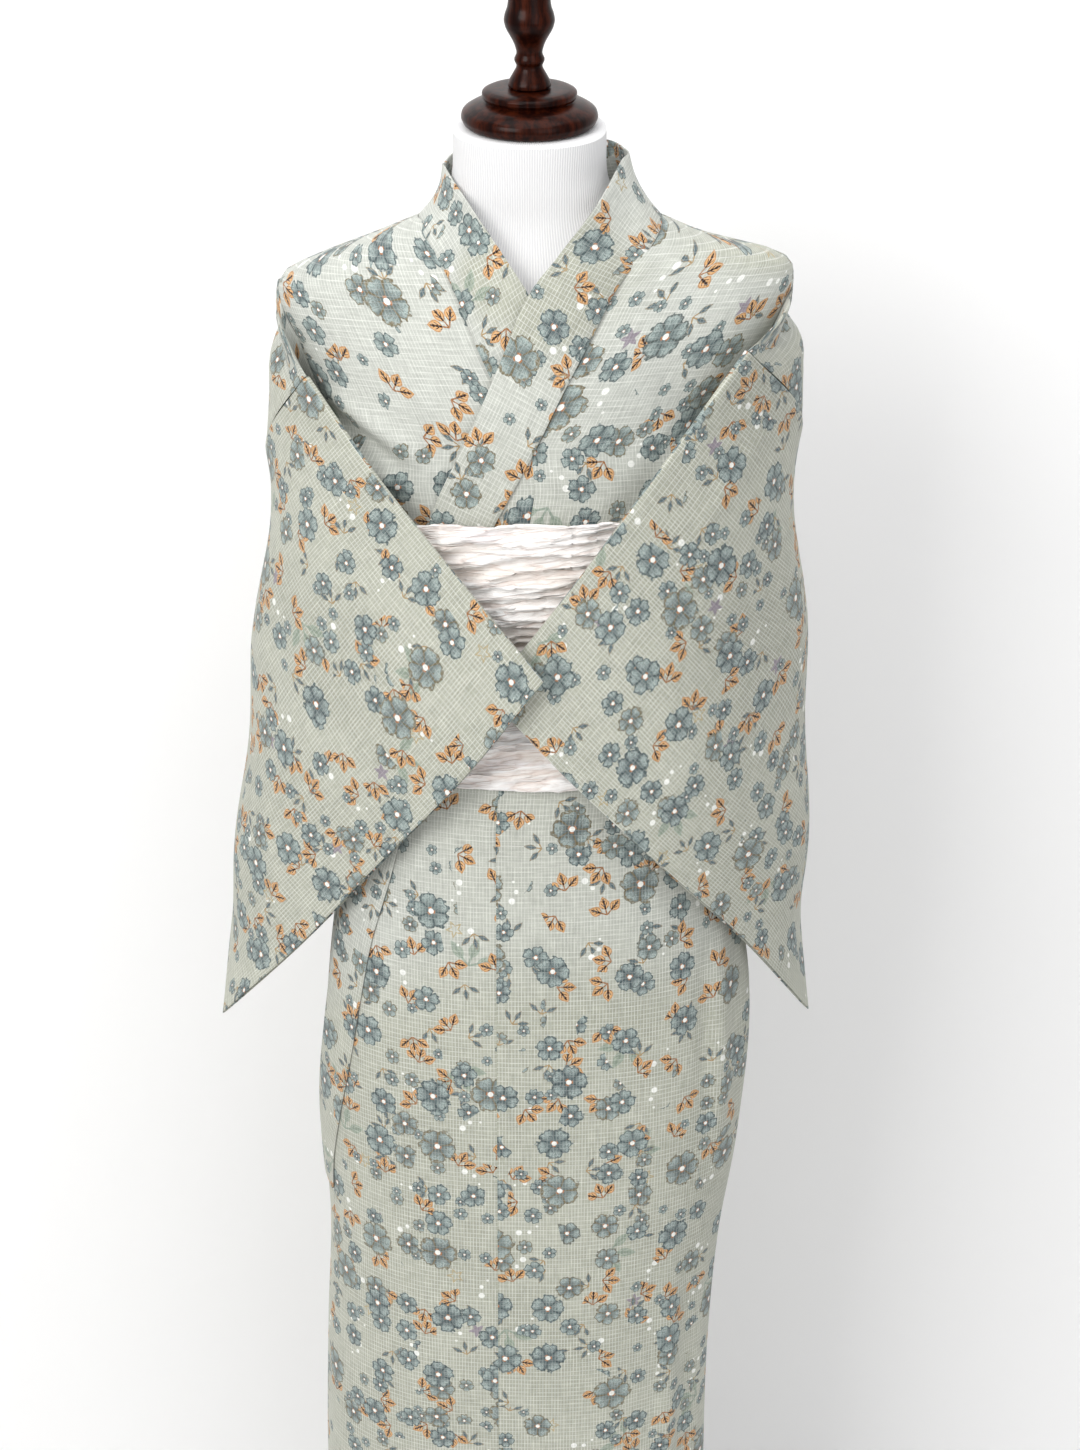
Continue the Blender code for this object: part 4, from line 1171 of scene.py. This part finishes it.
def finish_material(made, colour, relief=None, **values):
    """Set the surface: its colour, its relief (height, strength, depth) and values by socket name."""
    shader = made.node_tree.nodes["Principled BSDF"]
    put(shader.inputs["Base Color"], colour)
    if relief:
        height, strength, depth = relief
        put(shader.inputs["Normal"],
            node("ShaderNodeBump", {"Strength": strength, "Distance": depth, "Height": height}))
    for label, value in values.items():
        shader.inputs[label.replace("_", " ")].default_value = value
    return made


def print_layer(cut, spacing, looseness, shift, share):
    """Spots of one layer, and 1 where a spot of it is printed."""
    spot = use(SPOTS, Cut=cut, Spacing=spacing, Looseness=looseness, Shift=shift)
    return spot, spot["Chance"] < share


def paint_blossoms(ground, spot, printed, radius):
    """Lay one layer of blossoms over the ground."""
    flower = use(BLOSSOM, Local=spot["Local"], Radius=radius, Size=spot["Size"])
    soft = over(spot["Turn"], srgb(84, 96, 98), srgb(106, 119, 118))
    soft = over(flower["Pale"] * 0.85, soft, srgb(164, 177, 173))
    dark = over(ramp(spot["Size"], 0.70, 0.74), srgb(62, 74, 76), srgb(112, 98, 68))
    petals = over(flower["Lines"] * 0.80, soft, dark)
    colour = over(flower["Petals"] * printed, ground, petals)
    colour = over(flower["Ring"] * printed, colour, srgb(164, 112, 76))
    return over(flower["Middle"] * printed, colour, srgb(232, 231, 225))


def paint_sprigs(ground, spot, printed, length, width, blade, vein, stalk):
    """Lay one layer of leaf sprigs over the ground."""
    sprig = use(SPRIG, Local=spot["Local"], Length=length, Width=width)
    colour = over(sprig["Stalk"] * printed, ground, stalk)
    blades = over(sprig["Veins"], over(sprig["Edges"] * 0.6, blade, stalk), vein)
    return over(sprig["Blades"] * printed, colour, blades)


# layer (spacing, looseness, shift, share), length, width, blade, vein and stalk
TWIGS = ((0.105, 0.55, 3.7, 0.55), 0.026, 0.17,
         srgb(146, 158, 143), srgb(116, 132, 118), srgb(126, 142, 128))
LEAVES = (
    ((0.038, 0.80, 7.9, 0.50), 0.0150, 0.15, srgb(112, 126, 128), srgb(84, 98, 102), srgb(156, 132, 94)),
    ((0.0345, 0.75, 2.3, 0.54), 0.0168, 0.26, srgb(204, 158, 108), srgb(52, 34, 26), srgb(146, 102, 66)),
)
# layer, how crowded the cloth must be there (0 is everywhere), radius
BLOSSOMS = (((0.0205, 0.80, 9.1, 0.34), 0.44, 0.0066), ((0.0300, 0.60, 4.4, 0.42), 0.40, 0.0112),
            ((0.0560, 0.65, 6.2, 0.62), 0.0, 0.0160))
# thicker white threads: 2.7 mm apart across the cloth and 4.4 mm apart along it
THREAD_PITCH = ((0.0027, (370.0, 60.0, 1.0)), (0.0044, (60.0, 230.0, 1.0)))


def robe_cotton():
    """The ground with its threads, then each layer of the print, then the yarns over all of it."""
    made = new_material("printed robe cotton")
    cut = source(made, "ShaderNodeUVMap", 0, uv_map="cut")
    behind = source(made, "ShaderNodeAttribute", "Fac", attribute_name="behind")
    ground = over(ramp(noise(cut, 9.0), 0.3, 0.7), srgb(158, 160, 146), srgb(169, 171, 157))
    # painted light: paler and cooler where the white form lies close behind the thin cotton
    ground = over(behind * 0.42, ground, srgb(200, 204, 204))
    threads = []
    for place, (pitch, stretch) in zip(split(cut), THREAD_PITCH):
        away = abs(calc("FRACT", place / pitch) - 0.5) * pitch
        threads.append(ramp(away, 0.00040, 0.00018) * ramp(noise(cut, stretch), 0.22, 0.52))
    check = calc("MAXIMUM", *threads)
    ground = over(check * 0.62, ground, srgb(212, 213, 206))

    spot, printed = print_layer(cut, *TWIGS[0])
    ground = paint_sprigs(ground, spot, printed * 0.75, *TWIGS[1:])
    spot, printed = print_layer(cut, 0.056, 0.75, 1.3, 0.52)
    dots = use(DOTS, Local=spot["Local"], Radius=0.0025)
    ground = over(dots["Dots"] * printed, ground, srgb(228, 229, 224))
    spot, printed = print_layer(cut, 0.085, 0.70, 5.1, 0.40)
    star = use(STAR, Local=spot["Local"], Radius=0.0085)
    ground = over((spot["Size"] > 0.5) * star["Fill"] * printed, ground, srgb(138, 130, 138))
    ground = over((spot["Size"] < 0.5) * star["Outline"] * printed, ground, srgb(168, 154, 120))
    for layer, *leaf in LEAVES:
        ground = paint_sprigs(ground, *print_layer(cut, *layer), *leaf)
    # patches of the cloth where blossoms crowd together
    crowd = noise(cut, 8.5, 1.0)
    for layer, crowded, radius in BLOSSOMS:
        spot, printed = print_layer(cut, *layer)
        ground = paint_blossoms(ground, spot, printed * (crowd > crowded), radius)

    # the white threads show faintly through the ink, and every yarn differs a little
    ground = over(check * 0.20, ground, srgb(212, 214, 210))
    yarn = noise(cut, (760.0, 50.0, 1.0), 1.0) + noise(cut, (60.0, 680.0, 1.0), 1.0)
    tone = node("ShaderNodeHueSaturation", {"Value": yarn * 0.44 + 0.56, "Color": ground})
    return finish_material(made, tone, (check + yarn, 0.35, 0.0003), Roughness=0.85,
                           Specular_IOR_Level=0.25, Sheen_Weight=0.12, Sheen_Roughness=0.5)


COTTON = robe_cotton()
print("nodes in the robe's cotton:", len(COTTON.node_tree.nodes))

# %% [markdown]
# ## Sash, jersey and wood
#
# The sash is warm white with a breath of pink, and painted shade in a darker pinkish brown along its crease
# lines and in its hollows. The form's jersey is knitted in fine upright ribs, painted darker in their
# valleys as painted shade. The wood is stained dark, with grain that runs up the turning, under a glossy
# varnish.

# %% Sash, jersey and walnut
# pressed crease lines, painted darker as painted shade and also used for the bump: how fine along the sash,
# how fine across it, and the width of a line
CREASE_LINES = ((17.0, 135.0, 0.055), (44.0, 330.0, 0.075))


def sash_cotton():
    made = new_material("crinkled sash cotton")
    cut = source(made, "ShaderNodeUVMap", 0, uv_map="cut")
    painted_hollow_shade = source(made, "ShaderNodeAttribute", "Fac", attribute_name="behind")
    colour = over(ramp(noise(cut, (9.0, 60.0, 1.0)), 0.42, 0.66), srgb(253, 252, 251), srgb(250, 245, 240))
    colour = over(ramp(noise(cut, (14.0, 34.0, 1.0), 1.0), 0.55, 0.70) * 0.55, colour, srgb(248, 240, 243))
    # painted shade: the hollows between the ridges of the crinkles are painted a darker, warmer white
    colour = over(painted_hollow_shade * 0.20, colour, srgb(232, 218, 208))
    # the lines climb a little, like the larger crinkles in the sash's shape
    u, v, _ = split(cut)
    slanted = node("ShaderNodeCombineXYZ", {0: u, 1: u * 0.10 + v})
    bold, faint = (ramp(abs(noise(slanted, (along, across, 1.0), 2.0, 0.55) - 0.5), width, 0.0)
                   for along, across, width in CREASE_LINES)
    crease_relief_and_painted_shade = faint * 0.45 + bold
    # painted shade: the crease lines are painted a darker pinkish brown
    colour = over(crease_relief_and_painted_shade * 0.36, colour, srgb(206, 182, 170))
    crepe = crease_relief_and_painted_shade * -1.6 + noise(cut, (260.0, 900.0, 1.0), 3.0)
    return finish_material(made, colour, (crepe, 0.6, 0.0009), Roughness=0.8, Specular_IOR_Level=0.25)


def form_jersey():
    made = new_material("ribbed form jersey")
    place = source(made, "ShaderNodeTexCoord", "Object")
    x, y, _ = split(place)
    rib = calc("SINE", calc("ARCTAN2", x, y) * 190.0)
    height = noise(place, (900.0, 900.0, 1500.0), 1.0) * 0.6 + rib
    # partly painted shade: darker in the rib valleys and low spots, lighter on the ridges, with some random
    # tone from the noise
    colour = over(ramp(height, -1.0, 1.4), srgb(214, 214, 216), srgb(232, 232, 232))
    return finish_material(made, colour, (height, 0.4, 0.0003), Roughness=0.9)


def walnut():
    made = new_material("glossy dark walnut")
    place = source(made, "ShaderNodeTexCoord", "Object")
    grain = noise(place, (160.0, 160.0, 22.0), 4.0, 0.6)
    pores = noise(place, (900.0, 900.0, 60.0))
    colour = over(ramp(grain, 0.35, 0.68), srgb(25, 10, 7), srgb(60, 27, 15))
    colour = over(ramp(pores, 0.58, 0.70) * 0.6, colour, srgb(24, 10, 6))
    return finish_material(made, colour, (grain, 0.15, 0.0002), Roughness=0.30, Specular_IOR_Level=0.08,
                           Coat_Weight=0.05, Coat_Roughness=0.12)


SASH, JERSEY, WALNUT = sash_cotton(), form_jersey(), walnut()
print("materials:", [made.name for made in (COTTON, SASH, JERSEY, WALNUT)])

# %% [markdown]
# ## Blind stitches
#
# Cuffs and hem are turned in and caught by hand, so only a short bar of thread shows every centimetre and
# a half. A Geometry Nodes tree walks along a line of the cloth's own points and lays one bar at each step,
# because a rule like that is quicker to change than a row of copies. The result becomes a plain mesh.

# %% Stitches along cuffs and hem
STITCH_LIFT = 0.0001


def stitch_tree():
    """Bars of thread along the edges of a mesh line."""
    tree = bpy.data.node_groups.new("blind stitches", "GeometryNodeTree")
    for label, kind, value in (
        ("Line", "Geometry", None), ("Pitch", "Float", 0.015), ("Stitch Length", "Float", 0.0024),
        ("Thread Radius", "Float", 0.00022), ("Seed", "Int", 7), ("Thread", "Material", None),
    ):
        socket = tree.interface.new_socket(label, in_out="INPUT", socket_type="NodeSocket" + kind)
        if value is not None:
            socket.default_value = value
    tree.interface.new_socket("Stitches", in_out="OUTPUT", socket_type="NodeSocketGeometry")
    start = tree.nodes.new("NodeGroupInput").outputs
    line, pitch, length, radius, seed, thread = (Wire(socket) for socket in start if socket.name)
    curve = node("GeometryNodeMeshToCurve", {"Mesh": line})
    steps = node("GeometryNodeCurveToPoints", {"Curve": curve, "Length": pitch}, mode="LENGTH")
    bar = node("GeometryNodeMeshCylinder", {"Vertices": 6, "Depth": length, "Radius": radius})
    aim = node("FunctionNodeAlignRotationToVector", {"Vector": steps.beside("Tangent")}, axis="Z")
    size = node("FunctionNodeRandomValue", {2: 0.7, 3: 1.2, "Seed": seed}, output=1, data_type="FLOAT")
    copies = node("GeometryNodeInstanceOnPoints",
                  {"Points": steps, "Instance": bar, "Rotation": aim, "Scale": size})
    real = node("GeometryNodeRealizeInstances", {"Geometry": copies})
    paint = node("GeometryNodeSetMaterial", {"Geometry": real, "Material": thread})
    put(tree.nodes.new("NodeGroupOutput").inputs["Stitches"], paint)
    return tree


def sewing_thread():
    made = new_material("pale sewing thread")
    ply = noise(source(made, "ShaderNodeTexCoord", "Object"), 2400.0, 1.0)
    return finish_material(made, over(ply, srgb(196, 201, 192), srgb(222, 225, 218)), Roughness=0.6)


def stitches(name, row, seed):
    """Lay stitches along one row of a cloth piece, counted from its top or, if negative, its end."""
    rows, used, ring = grid_sizes[name]
    first = (row % rows) * used
    along = pieces[name].data.vertices[first:first + used]
    corners = [vertex.co + vertex.normal * STITCH_LIFT for vertex in along]
    edges = [(step, step + 1) for step in range(used - 1)] + ([(used - 1, 0)] if ring else [])
    mesh = bpy.data.meshes.new(name + " line")
    mesh.from_pydata(corners, edges, [])
    line = placed(name + " line", mesh)
    walk = line.modifiers.new("stitches", "NODES")
    walk.node_group = STITCH_TREE
    given = {"Seed": seed, "Thread": THREAD}
    for item in STITCH_TREE.interface.items_tree:
        if item.in_out == "INPUT" and item.name in given:
            walk[item.identifier] = given[item.name]
    graph = bpy.context.evaluated_depsgraph_get()
    sewn = bpy.data.meshes.new_from_object(line.evaluated_get(graph))
    bpy.data.objects.remove(line)
    piece = placed(name + "_stitches", sewn)
    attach(piece, "root")
    return piece


STITCH_TREE = stitch_tree()
THREAD = sewing_thread()
ROWS_FROM_EDGE = 3
STITCHED = ("sleeve_left", "sleeve_right", "front_left", "front_right", "overlap_left",
            "overlap_right", "back_left", "back_right", "collar_band")
sewing = {name: stitches(name, -ROWS_FROM_EDGE, 11 + step) for step, name in enumerate(STITCHED)}
print("stitch faces:", {name: len(piece.data.polygons) for name, piece in sewing.items()})

# %% [markdown]
# ## Put every piece on its body
#
# Each fine piece stands for one node of the imported model. For each cloth piece the size that it is cut to
# is measured on its flat pattern and printed.

# %% Materials, bodies and sheets


def cut_size(piece):
    """Width, length and area of a piece's flat pattern, in metres."""
    mesh = piece.data
    places = np.empty(len(mesh.loops) * 2)
    mesh.uv_layers["cut"].data.foreach_get("uv", places)
    quads = places.reshape(-1, 4, 2)
    first = quads[:, 2] - quads[:, 0]
    second = quads[:, 3] - quads[:, 1]
    area = 0.5 * np.abs(first[:, 0] * second[:, 1] - first[:, 1] * second[:, 0]).sum()
    width, length = np.ptp(quads.reshape(-1, 2), axis=0)
    return float(width), float(length), float(area)


SHEETS = {
    "front_left": ("draped", ["form_torso"]), "front_right": ("draped", ["form_torso"]),
    "back_left": ("draped", ["form_torso"]), "back_right": ("draped", ["form_torso"]),
    "overlap_left": ("hung", ["front_left"]), "overlap_right": ("hung", ["front_right"]),
    "collar_band": ("draped", ["front_left"]), "drop_left": ("hung", ["front_left"]),
    "drop_right": ("hung", ["front_right"]), "sleeve_left": ("hung", ["drop_left"]),
    "sleeve_right": ("hung", ["drop_right"]), "sash_lower": ("gathered", ["front_left"]),
    "sash_upper": ("gathered", ["sash_lower"]),
}
for name, piece in pieces.items():
    slot = "robe_cotton"
    finish = COTTON
    if name.startswith("sash"):
        slot, finish = "sash_cotton", SASH
    elif name == "form_torso":
        slot, finish = "form_jersey", JERSEY
    elif name in ("neck_cap", "finial", "pole", "base"):
        slot, finish = "walnut", WALNUT
    piece.data.materials.clear()
    piece.data.materials.append(finish)
    piece.name = name + "_fine"
    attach(piece, "root")
    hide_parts(name)
for name, (held, carriers) in SHEETS.items():
    width, length, area = cut_size(pieces[name])
    [sewing[name]] if name in sewing else ()
    print(f"{name}: cut {width * 1000:.0f} x {length * 1000:.0f} mm, {area:.3f} square metres")

# %% [markdown]
# ## Room, light and camera
#
# A pale floor and wall, a broad soft light from the upper left and a weaker one from the right give the
# even daylight of a small room. The camera stands at the height and tilt worked out from the picture.

# %% Stage


def slab(name, corners, colour):
    mesh = bpy.data.meshes.new(name)
    mesh.from_pydata(corners, [], [tuple(range(len(corners)))])
    mesh.materials.append(finish_material(new_material(name + " paint"), colour, Roughness=0.9))
    placed(name, mesh)


PALE = (0.93, 0.93, 0.93, 1.0)
WALL_Y = 0.44
slab("floor", [(-3, -3, 0), (3, -3, 0), (3, WALL_Y, 0), (-3, WALL_Y, 0)], PALE)
slab("wall", [(-3, WALL_Y, 0), (3, WALL_Y, 0), (3, WALL_Y, 3), (-3, WALL_Y, 3)], PALE)


def soft_light(name, place, target, size, power, colour):
    light = bpy.data.lights.new(name, "AREA")
    light.shape = "SQUARE"
    light.size = size
    light.energy = power
    light.color = colour
    lamp = placed(name, light)
    lamp.location = place
    lamp.rotation_euler = (Vector(target) - Vector(place)).to_track_quat("-Z", "Y").to_euler()


soft_light("window", (-1.6, -2.4, 2.7), (0.0, 0.0, 1.3), 1.6, 62.0, (1.0, 0.99, 0.97))
soft_light("fill", (1.4, -2.8, 2.1), (0.0, 0.0, 1.3), 2.0, 18.5, (0.99, 0.99, 1.0))
soft_light("ceiling", (0.0, -0.6, 3.2), (0.0, 0.0, 1.0), 1.8, 22.0, (1.0, 1.0, 1.0))
world = bpy.data.worlds.new("room light")
world.use_nodes = True
sky = world.node_tree.nodes["Background"].inputs
sky["Color"].default_value = (0.99, 0.99, 1.0, 1.0)
sky["Strength"].default_value = 0.45
bpy.context.scene.world = world
bpy.context.scene.view_settings.view_transform = "Standard"
print("lights:", [made.name for made in bpy.data.lights])

# %% [markdown]
# ## Camera and finish
#
# The lens follows from the picture's vanishing lines: a focal length of 2180 pixels in a frame 1450
# pixels high.

# %% Camera and finish
PICTURE_HEIGHT = 1450.0
FOCAL_PIXELS = 2180.0
SENSOR_HEIGHT = 36.0
camera_data = bpy.data.cameras.new("camera")
camera_data.sensor_fit = "VERTICAL"
camera_data.sensor_height = SENSOR_HEIGHT
camera_data.lens = FOCAL_PIXELS / PICTURE_HEIGHT * SENSOR_HEIGHT
camera = placed("camera", camera_data)
camera.location = (0.008, -1.73, 1.86)
camera.rotation_euler = (math.radians(69.0), 0.0, 0.0)
bpy.context.scene.camera = camera
